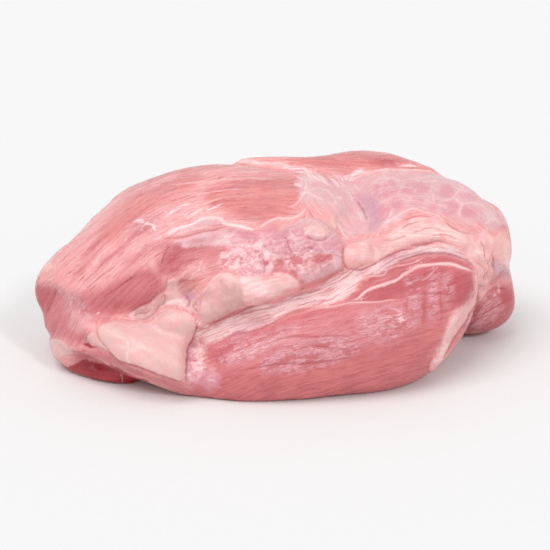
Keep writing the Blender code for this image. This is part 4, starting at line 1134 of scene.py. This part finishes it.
class FleshWiring(Wiring):
    """The tissues of raw meat, each laid over the colour of those under it."""

    def __init__(self, material, finish):
        super().__init__(material)
        self.finish = finish
        metres = self.add("TexCoord", {}, "Object")
        self.place = self.add("VectorMath", {0: metres, 1: (1 / MM,) * 3}, operation="MULTIPLY")
        self.grain = self.read("grain", "Vector")
        self.rise = self.read("rise")
        self.ragged = self.minus(self.noise(self.place, RAGGED, 4.0, 0.6), 0.5)
        self.patchy = self.minus(self.noise(self.place, PATCHY, 3.0, 0.55), 0.5)
        self.broad = self.minus(self.noise(self.place, BROAD, 2.0), 0.5)
        self.wavy = self.bend(self.grain, FIBRE_BEND_SIZES, FIBRE_BEND)
        self.bundle = self.fibres(*BUNDLE)
        self.strand = self.fibres(*STRAND)
        self.hair = self.fibres(*HAIR)
        thin = self.plus(self.times(self.strand, 0.38), self.times(self.hair, 0.4))
        tone = self.plus(self.times(self.bundle, 0.22), thin)
        self.tone = self.plus(tone, self.times(self.patchy, 0.3))

    def bend(self, vector, sizes, far):
        """The vector pushed aside by smooth noise of these sizes, as far as this."""
        inputs = {"Vector": self.stretch(vector, sizes), "Scale": 1.0, "Detail": 2.0}
        push = self.add("TexNoise", inputs, "Color")
        push = self.add("VectorMath", {0: push, 1: far}, operation="MULTIPLY")
        return self.add("VectorMath", {0: vector, 1: push}, operation="ADD")

    def fibres(self, long, wide, detail=2.0, rough=0.5):
        """Noise drawn out along the fibres, in streaks of this length and width."""
        return self.noise(self.stretch(self.wavy, (long, wide, 1.0)), 1.0, detail, rough)

    def tissue(self, name):
        """From 0 outside a tissue to its full share inside, with an edge broken up by noise."""
        ragged, low, high, share, broader = EDGES[name]
        depth = self.plus(self.read(name), self.times(self.ragged, ragged))
        if broader:
            depth = self.plus(depth, self.times(self.patchy, broader))
        return self.ramp(depth, low, high, 0.0, share)

    def line(self, name):
        """A drawn line: its half width less the distance to it, with an edge broken up by noise."""
        ragged, low, high, share = LINE_EDGES[name]
        half = self.plus(self.read(name + "_half"), self.times(self.ragged, ragged))
        return self.ramp(self.minus(half, self.size(self.read(name + "_across"))), low, high, 0.0, share)

    def cracks(self, size, wide):
        """Thin lines between round cells of this size."""
        bent = self.bend(self.place, (size,) * 3, (size,) * 3)
        cells = self.add("TexVoronoi", {"Vector": bent, "Scale": 1.0 / size}, feature="DISTANCE_TO_EDGE")
        return self.ramp(cells, 0.0, wide, 1.0, 0.0)

    def lean(self):
        """Pink flesh with darker fibres, thin white threads and dark slits."""
        finish = self.finish
        colour = self.mix(self.ramp(self.tone, 0.38, 0.62), finish.lean_dark, finish.lean)
        colour = self.mix(self.ramp(self.broad, -0.1, 0.14, 0.0, 0.4), colour, finish.lean_warm)
        thread = self.size(self.minus(self.fibres(28.0, 1.1, 3.0), 0.5))
        colour = self.mix(self.ramp(thread, 0.0, 0.024, 0.6, 0.0), colour, finish.pale)
        slit = self.plus(self.fibres(14.0, 0.8), self.times(self.patchy, 0.3))
        return self.mix(self.ramp(slit, 0.59, 0.7, 0.0, 0.65), colour, finish.deep)

    def reddened(self, colour):
        """Rose, salmon, amber and deep red places in the flesh."""
        finish = self.finish
        rose = self.mix(self.ramp(self.tone, 0.36, 0.56), finish.rose_dark, finish.rose)
        colour = self.mix(self.tissue("rose"), colour, rose)
        salmon = self.mix(self.ramp(self.tone, 0.36, 0.64), finish.rose_dark, finish.salmon)
        colour = self.mix(self.tissue("salmon"), colour, salmon)
        amber = self.mix(self.ramp(self.strand, 0.44, 0.66), finish.amber, finish.film)
        colour = self.mix(self.tissue("amber"), colour, amber)
        deep = self.mix(self.ramp(self.tone, 0.38, 0.64), finish.deep, finish.rose_dark)
        return self.mix(self.tissue("deep"), colour, deep)

    def sheen(self, colour):
        """A darker rose ground in wet flesh, and a painted highlight of broken pale hairs along the fibres.
        """
        finish = self.finish
        hairs = self.ramp(self.plus(self.fibres(5.0, 0.6, 3.0), self.times(self.ragged, 0.3)), 0.45, 0.51)
        patches = self.plus(self.fibres(16.0, 4.0, 4.0, 0.65), self.times(self.ragged, 0.25))
        patches = self.times(self.wet, self.ramp(patches, 0.42, 0.48))
        # The painted highlight: pale hairs in the wet patches.
        self.painted_glint = self.times(patches, self.ramp(hairs, 0.0, 1.0, 0.35, 1.0))
        colour = self.mix(self.times(self.wet, WET_SHARE), colour, finish.rose_dark)
        return self.mix(self.times(self.painted_glint, PAINTED_SHEEN_SHARE), colour, finish.sheen)

    def membrane(self, colour):
        """Thin skins with a white web in them, lilac places, and violet places that are partly painted shade
        in hollows and folds.
        """
        finish = self.finish
        self.film = self.tissue("film")
        thick = self.ramp(self.plus(self.patchy, self.times(self.broad, 0.6)), -0.16, 0.16, 0.45, 0.85)
        colour = self.mix(self.times(self.film, thick), colour, finish.film)
        colour = self.mix(self.tissue("lilac"), colour, finish.lilac)
        web = self.times(self.cracks(11.0, 0.12), self.ramp(self.patchy, -0.1, 0.12))
        threads = self.ramp(self.fibres(24.0, 1.2, 3.0), 0.5, 0.66, 0.0, 0.5)
        white = self.times(self.most(web, threads), self.times(self.film, 0.45))
        colour = self.mix(white, colour, finish.pale)
        # Violet places: the membranes' tint, and painted shade in hollows and folds.
        self.violet = self.tissue("mauve_and_shade")
        return self.mix(self.violet, colour, finish.mauve_and_shade)

    def silk(self, colour):
        """White streaks with flesh between them, and painted violet shade between the streaks where the
        violet places lie.
        """
        finish = self.finish
        streaks = self.plus(self.times(self.fibres(24.0, 1.1, 3.0, 0.6), 0.7), self.times(self.bundle, 0.3))
        band = self.mix(self.ramp(streaks, 0.36, 0.5), finish.film, finish.pale)
        band = self.mix(self.ramp(self.fibres(20.0, 0.9, 3.0), 0.5, 0.6, 0.0, 0.7), band, finish.rose)
        shade = self.times(self.violet, self.ramp(streaks, 0.4, 0.54, 1.0, 0.3))
        band = self.mix(shade, band, finish.mauve_and_shade)
        return self.mix(self.times(self.tissue("silk"), SILK_SHARE), colour, band)

    def gristle(self, colour):
        finish = self.finish
        self.smooth = self.tissue("gristle")
        tone = self.mix(self.ramp(self.plus(self.patchy, self.times(self.broad, 0.6)), -0.1, 0.3),
                        finish.gristle, finish.fat_pink)
        tone = self.mix(self.ramp(self.rise, -0.05, 0.2, 0.0, 0.4), tone, finish.pale)
        return self.mix(self.times(self.smooth, GRISTLE_SHARE), colour, tone)

    def torn(self, colour):
        """Torn flesh: pale plates, a white web and white crumbs over rose and lilac."""
        finish = self.finish
        self.ripped = self.tissue("torn")
        ground = self.mix(self.ramp(self.plus(self.patchy, self.times(self.ragged, 0.8)), -0.16, 0.2),
                          finish.rose, finish.lilac)
        colour = self.mix(self.times(self.ripped, 0.7), colour, ground)
        fold = self.size(self.minus(self.noise(self.place, 9.0, 4.0, 0.55, 0.8), 0.5))
        web = self.times(self.ramp(fold, 0.01, 0.06, 0.5, 0.0), self.ramp(self.patchy, -0.2, 0.0, 0.4, 1.0))
        plate = self.ramp(self.plus(self.rise, self.times(self.ragged, 0.5)), -0.1, 0.12, 0.0, 0.62)
        crumbs = self.ramp(self.noise(self.place, 3.4, 5.0, 0.7), 0.52, 0.62, 0.0, 0.45)
        white = self.most(self.most(web, plate), crumbs)
        return self.mix(self.times(self.ripped, white), colour, finish.pale)

    def tallow(self, colour):
        finish = self.finish
        self.soft_fat = self.tissue("tallow")
        tone = self.mix(self.ramp(self.plus(self.broad, self.patchy), -0.16, 0.16), finish.fat_light,
                        finish.fat_pink)
        tone = self.mix(self.ramp(self.fibres(16.0, 1.4, 3.0, 0.6), 0.46, 0.62, 0.0, 0.6), tone, finish.lean)
        # Lean colour in the fat's low places: painted shade in its pits.
        low = self.ramp(self.plus(self.rise, self.times(self.ragged, 0.6)), -0.3, 0.0, 0.35, 0.0)
        tone = self.mix(low, tone, finish.lean)
        cracks = self.times(self.cracks(5.0, 0.09), self.ramp(self.patchy, -0.05, 0.15, 0.0, 0.35))
        tone = self.mix(cracks, tone, finish.lean_dark)
        tone = self.mix(self.times(self.cream, 0.3), tone, finish.cream)
        return self.mix(self.soft_fat, colour, tone)

    def fat(self, colour):
        finish = self.finish
        self.hard_fat = self.tissue("fat")
        flushed = self.ramp(self.plus(self.ragged, self.times(self.patchy, 1.4)), -0.2, 0.26, 0.0, 0.6)
        tone = self.mix(flushed, finish.fat, finish.fat_pink)
        # Lean colour in the fat's low places: painted shade in its pits.
        tone = self.mix(self.ramp(self.rise, -0.3, 0.0, 0.45, 0.0), tone, finish.lean)
        specks = self.ramp(self.noise(self.place, 1.4, 3.0, 0.6), 0.6, 0.78, 0.0, 0.3)
        tone = self.mix(specks, tone, finish.lean)
        cracks = self.times(self.cracks(3.0, 0.12), self.ramp(self.patchy, -0.15, 0.1, 0.05, 0.35))
        tone = self.mix(cracks, tone, finish.lean)
        tone = self.mix(self.times(self.cream, 0.5), tone, finish.cream)
        return self.mix(self.hard_fat, colour, tone)

    def bloody(self, colour):
        finish = self.finish
        self.blood = self.tissue("blood")
        tone = self.mix(self.ramp(self.tone, 0.42, 0.66), finish.blood, finish.blood_light)
        return self.mix(self.blood, colour, tone)

    def colour(self):
        finish = self.finish
        self.wet = self.tissue("wet")
        self.cream = self.tissue("cream")
        colour = self.membrane(self.sheen(self.reddened(self.lean())))
        colour = self.torn(self.tallow(self.gristle(self.silk(colour))))
        colour = self.mix(self.times(self.cream, CREAM_SHARE), colour, finish.cream)
        colour = self.bloody(self.fat(colour))
        colour = self.mix(self.line("sinew"), colour, finish.pale)
        # Painted shade along the folds and seams.
        return self.mix(self.line("crease_shade"), colour, finish.crease_shade, "MULTIPLY")

    def roughness(self):
        rough = self.ramp(self.plus(self.patchy, self.ragged), -0.3, 0.3, 0.19, 0.38)
        return self.minus(rough, self.times(self.most(self.wet, self.blood), 0.06))

    def normal(self):
        lean = self.plus(self.times(self.strand, 0.5), self.times(self.hair, 0.5))
        fat = self.plus(self.times(self.noise(self.place, 2.2, 4.0, 0.65), 0.7), 0.2)
        thin = self.most(self.times(self.film, 0.7), self.smooth)
        covered = self.most(self.most(self.hard_fat, self.soft_fat), thin)
        inputs = {0: covered, self.NUMBER_A: lean, self.NUMBER_B: fat}
        relief = self.add("Mix", inputs, self.NUMBER_OUT, data_type="FLOAT")
        relief = self.plus(relief, self.times(self.painted_glint, 0.3))
        return self.add("Bump", {"Height": relief, "Strength": 1.0, "Distance": self.finish.relief})

    def coat(self):
        thin = self.times(self.most(self.film, self.ripped), 0.6)
        return self.times(self.most(self.most(self.wet, self.blood), thin), COAT_WEIGHT)


def flesh_material(finish):
    """Raw pork: pink lean with its fibres, red and violet tones, membranes, fat, sinew and wet places, with
    painted shade in folds and hollows and a painted sheen on the wet places.
    """
    material = bpy.data.materials.new("raw_pork")
    wire = FleshWiring(material, finish)
    wire.dress({"Base Color": wire.colour(), "Roughness": wire.roughness(), "Normal": wire.normal(),
                "Coat Weight": wire.coat(), "Coat Roughness": finish.coat_roughness,
                "Subsurface Weight": finish.subsurface, "Subsurface Radius": LIGHT_DEPTHS,
                "Subsurface Scale": finish.subsurface_scale, "Specular IOR Level": finish.specular})
    return material


def floor_material(colour):
    material = bpy.data.materials.new("studio_floor")
    Wiring(material).dress({"Base Color": colour, "Roughness": FLOOR_ROUGHNESS,
                            "Specular IOR Level": FLOOR_SPECULAR})
    return material


def colour_property(name, description, default):
    return bpy.props.FloatVectorProperty(name=name, description=description, subtype="COLOR", size=4, min=0.0,
                                         max=1.0, default=(*default, 1.0))


def number_property(name, description, default, **settings):
    return bpy.props.FloatProperty(name=name, description=description, default=default, min=0.0, **settings)


def length_property(name, description, default):
    return number_property(name, description, default, subtype="DISTANCE", unit="LENGTH", precision=5)


def share_property(name, description, default):
    return number_property(name, description, default, max=1.0, subtype="FACTOR")


def angle_property(name, description, degrees):
    return number_property(name, description, math.radians(degrees), subtype="ANGLE", unit="ROTATION")


class MeatShape(bpy.types.PropertyGroup):
    voxel: length_property("Mesh Detail", "Size of the mesh's cells, finer at the front", 2.4 * MM)
    smoothing: bpy.props.IntProperty(name="Smoothing", description="Rounds of smoothing over the facets",
                                     default=3, min=0)
    refine_from: share_property("Finer From", "How much cells face the front where they are halved", 0.12)
    fibre_height: length_property("Fibre Height", "Height of the ridges of fibres", 0.2 * MM)
    fat_height: length_property("Fat Lumps", "Height of the lumps in the fat", 0.45 * MM)
    film_height: length_property("Membrane Wrinkles", "Height of the wrinkles in the membranes", 0.2 * MM)
    torn_height: length_property("Torn Plates", "Height of the plates of torn flesh", 0.5 * MM)
    sinew_height: length_property("Sinew Height", "How far sinew stands proud", 0.3 * MM)


class MeatFinish(bpy.types.PropertyGroup):
    lean: colour_property("Lean", "Pale pink of the lean meat", (0.86, 0.395, 0.395))
    lean_dark: colour_property("Lean Shade", "Darker pink between the fibres", (0.745, 0.29, 0.3))
    lean_warm: colour_property("Warm Lean", "Salmon tint of the lean meat", (0.82, 0.335, 0.305))
    rose: colour_property("Rose", "Dusky rose flesh", (0.61, 0.165, 0.185))
    rose_dark: colour_property("Rose Shade", "Darker rose between the fibres", (0.49, 0.1, 0.115))
    salmon: colour_property("Salmon", "Warm red flesh", (0.72, 0.19, 0.178))
    deep: colour_property("Deep", "Deep red flesh", (0.46, 0.075, 0.09))
    amber: colour_property("Amber", "Brownish orange gristle", (0.6, 0.2, 0.165))
    # The colour of the painted sheen.
    sheen: colour_property("Sheen", "Pink of the wet sheen", (0.88, 0.45, 0.51))
    pale: colour_property("Sinew", "White of sinew and threads", (0.92, 0.655, 0.65))
    film: colour_property("Membrane", "Lavender pink of thin membranes", (0.71, 0.43, 0.46))
    lilac: colour_property("Lilac", "Lilac pink of windows and torn plates", (0.69, 0.275, 0.33))
    # Also painted as shade in hollows and folds.
    mauve_and_shade: colour_property("Violet", "Violet shade under membranes", (0.57, 0.28, 0.37))
    gristle: colour_property("Gristle", "Greyish pink of gristle and thick skin", (0.63, 0.36, 0.34))
    fat: colour_property("Fat", "Pale fat", (0.745, 0.475, 0.457))
    fat_light: colour_property("Light Fat", "Soft fat where it is thick", (0.93, 0.63, 0.615))
    fat_pink: colour_property("Pink Fat", "Fat with flesh under it", (0.81, 0.43, 0.425))
    cream: colour_property("Cream", "Yellower fat and gristle", (0.86, 0.53, 0.45))
    blood: colour_property("Blood", "Darkest wet flesh", (0.34, 0.006, 0.016))
    blood_light: colour_property("Wet Flesh", "Lighter streaks in the dark flesh", (0.44, 0.022, 0.038))
    # Multiplied in as painted shade along the folds and seams.
    crease_shade: colour_property("Crease", "Shade in folds and seams", (0.58, 0.24, 0.27))
    coat_roughness: share_property("Coat Roughness", "Roughness of the wet coat", 0.16)
    subsurface: share_property("Translucency", "Share of light that enters the meat", 0.12)
    subsurface_scale: length_property("Light Depth", "How far light travels in the meat", 1.5 * MM)
    specular: share_property("Specular", "Strength of the reflections", 0.5)
    relief: length_property("Fine Relief", "Height of the finest relief", 0.52 * MM)


class StudioSettings(bpy.types.PropertyGroup):
    floor: colour_property("Floor", "Colour of the floor", (0.79, 0.79, 0.79))
    floor_size: length_property("Floor Size", "Width of the floor", 14.0)
    sky: number_property("Fill Light", "Strength of the light from all round", 0.68)
    key: number_property("Key Light", "Strength of the broad light from above", 1.3)
    key_spread: angle_property("Key Spread", "How wide the broad light looks", 40.0)
    gloss: number_property("Gloss Light", "Strength of the light that gives the sheen", 0.7)
    gloss_spread: angle_property("Gloss Spread", "How wide the light of the sheen looks", 9.0)


class MEAT_OT_build_shoulder(bpy.types.Operator):
    """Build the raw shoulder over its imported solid"""

    bl_idname = "meat.build_shoulder"
    bl_label = "Pork Shoulder"

    def execute(self, context):
        shape = context.scene.meat_shape
        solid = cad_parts[NODE]
        meat = bpy.data.objects.new("meat", solid.data.copy())
        context.scene.collection.objects.link(meat)
        meat.data.materials.clear()
        applied(meat, "WELD", merge_threshold=WELD_DISTANCE * MM)
        applied(meat, "REMESH", mode="VOXEL", voxel_size=shape.voxel)
        if not len(meat.data.polygons):
            raise RuntimeError("the packed solid gave no surface to work on")
        applied(meat, "SMOOTH", factor=SMOOTHING_FACTOR, iterations=shape.smoothing)
        halve_cells(meat.data, Skin(meat.data).facing["front"] > shape.refine_from)
        applied(meat, "SMOOTH", factor=SMOOTHING_FACTOR, iterations=REFINED_SMOOTHING)
        halve_cells(meat.data, Skin(meat.data).fine())
        meat.data.name = "meat"
        work_flesh(meat.data, shape)
        meat.data.materials.append(flesh_material(context.scene.meat_finish))
        meat.data.shade_smooth()
        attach(meat, "root")
        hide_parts(NODE)
        return {"FINISHED"}


def lamp(name, kind, place, **settings):
    """A soft light that points at the meat."""
    light = bpy.data.lights.new(name, kind)
    for setting, value in settings.items():
        setattr(light, setting, value)
    obj = bpy.data.objects.new(name, light)
    obj.location = place
    obj.rotation_euler = (Vector(AIM * MM) - Vector(place)).to_track_quat("-Z", "Y").to_euler()
    bpy.context.scene.collection.objects.link(obj)


class MEAT_OT_build_studio(bpy.types.Operator):
    """Build the pale floor, the soft lights and the camera"""

    bl_idname = "meat.build_studio"
    bl_label = "Studio"

    def execute(self, context):
        studio = context.scene.meat_studio
        half = studio.floor_size / 2
        mesh = bpy.data.meshes.new("floor")
        mesh.from_pydata([(-half, -half, 0), (half, -half, 0), (half, half, 0), (-half, half, 0)], [],
                         [(0, 1, 2, 3)])
        mesh.materials.append(floor_material(studio.floor))
        floor = bpy.data.objects.new("floor", mesh)
        context.scene.collection.objects.link(floor)

        world = bpy.data.worlds.new("studio")
        world.use_nodes = True
        light = world.node_tree.nodes["Background"].inputs
        light["Color"].default_value = WHITE
        light["Strength"].default_value = studio.sky
        context.scene.world = world
        context.scene.view_settings.view_transform = "Standard"
        lamp("key", "SUN", KEY_PLACE, energy=studio.key, angle=studio.key_spread)
        lamp("gloss", "SUN", GLOSS_PLACE, energy=studio.gloss, angle=studio.gloss_spread)

        camera = bpy.data.objects.new("camera", bpy.data.cameras.new("camera"))
        back = Vector(way_back(SIDES["front"]))
        camera.location = (Vector(AIM) + back * SIGHT_DISTANCE) * MM
        camera.rotation_euler = back.to_track_quat("Z", "Y").to_euler()
        camera.data.sensor_width = SENSOR_WIDTH
        camera.data.lens = SENSOR_WIDTH * SIGHT_DISTANCE / PICTURE_WIDTH
        context.scene.collection.objects.link(camera)
        context.scene.camera = camera
        return {"FINISHED"}


class MEAT_PT_panel(bpy.types.Panel):
    """Sizes and colours of the meat and its studio"""

    bl_label = "Pork Shoulder"
    bl_space_type = "VIEW_3D"
    bl_region_type = "UI"
    bl_category = "Meat"

    def draw(self, context):
        scene = context.scene
        for operator, groups in (("meat.build_shoulder", (scene.meat_shape, scene.meat_finish)),
                                 ("meat.build_studio", (scene.meat_studio,))):
            self.layout.operator(operator)
            for settings in groups:
                for name in settings.__annotations__:
                    self.layout.prop(settings, name)


CLASSES = (MeatShape, MeatFinish, StudioSettings, MEAT_OT_build_shoulder, MEAT_OT_build_studio, MEAT_PT_panel)


def register():
    for kind in CLASSES:
        bpy.utils.register_class(kind)
    bpy.types.Scene.meat_shape = bpy.props.PointerProperty(type=MeatShape)
    bpy.types.Scene.meat_finish = bpy.props.PointerProperty(type=MeatFinish)
    bpy.types.Scene.meat_studio = bpy.props.PointerProperty(type=StudioSettings)


def unregister():
    del bpy.types.Scene.meat_studio
    del bpy.types.Scene.meat_finish
    del bpy.types.Scene.meat_shape
    for kind in reversed(CLASSES):
        bpy.utils.unregister_class(kind)


def main():
    register()
    bpy.ops.meat.build_shoulder()
    bpy.ops.meat.build_studio()


if __name__ == "__main__":
    main()
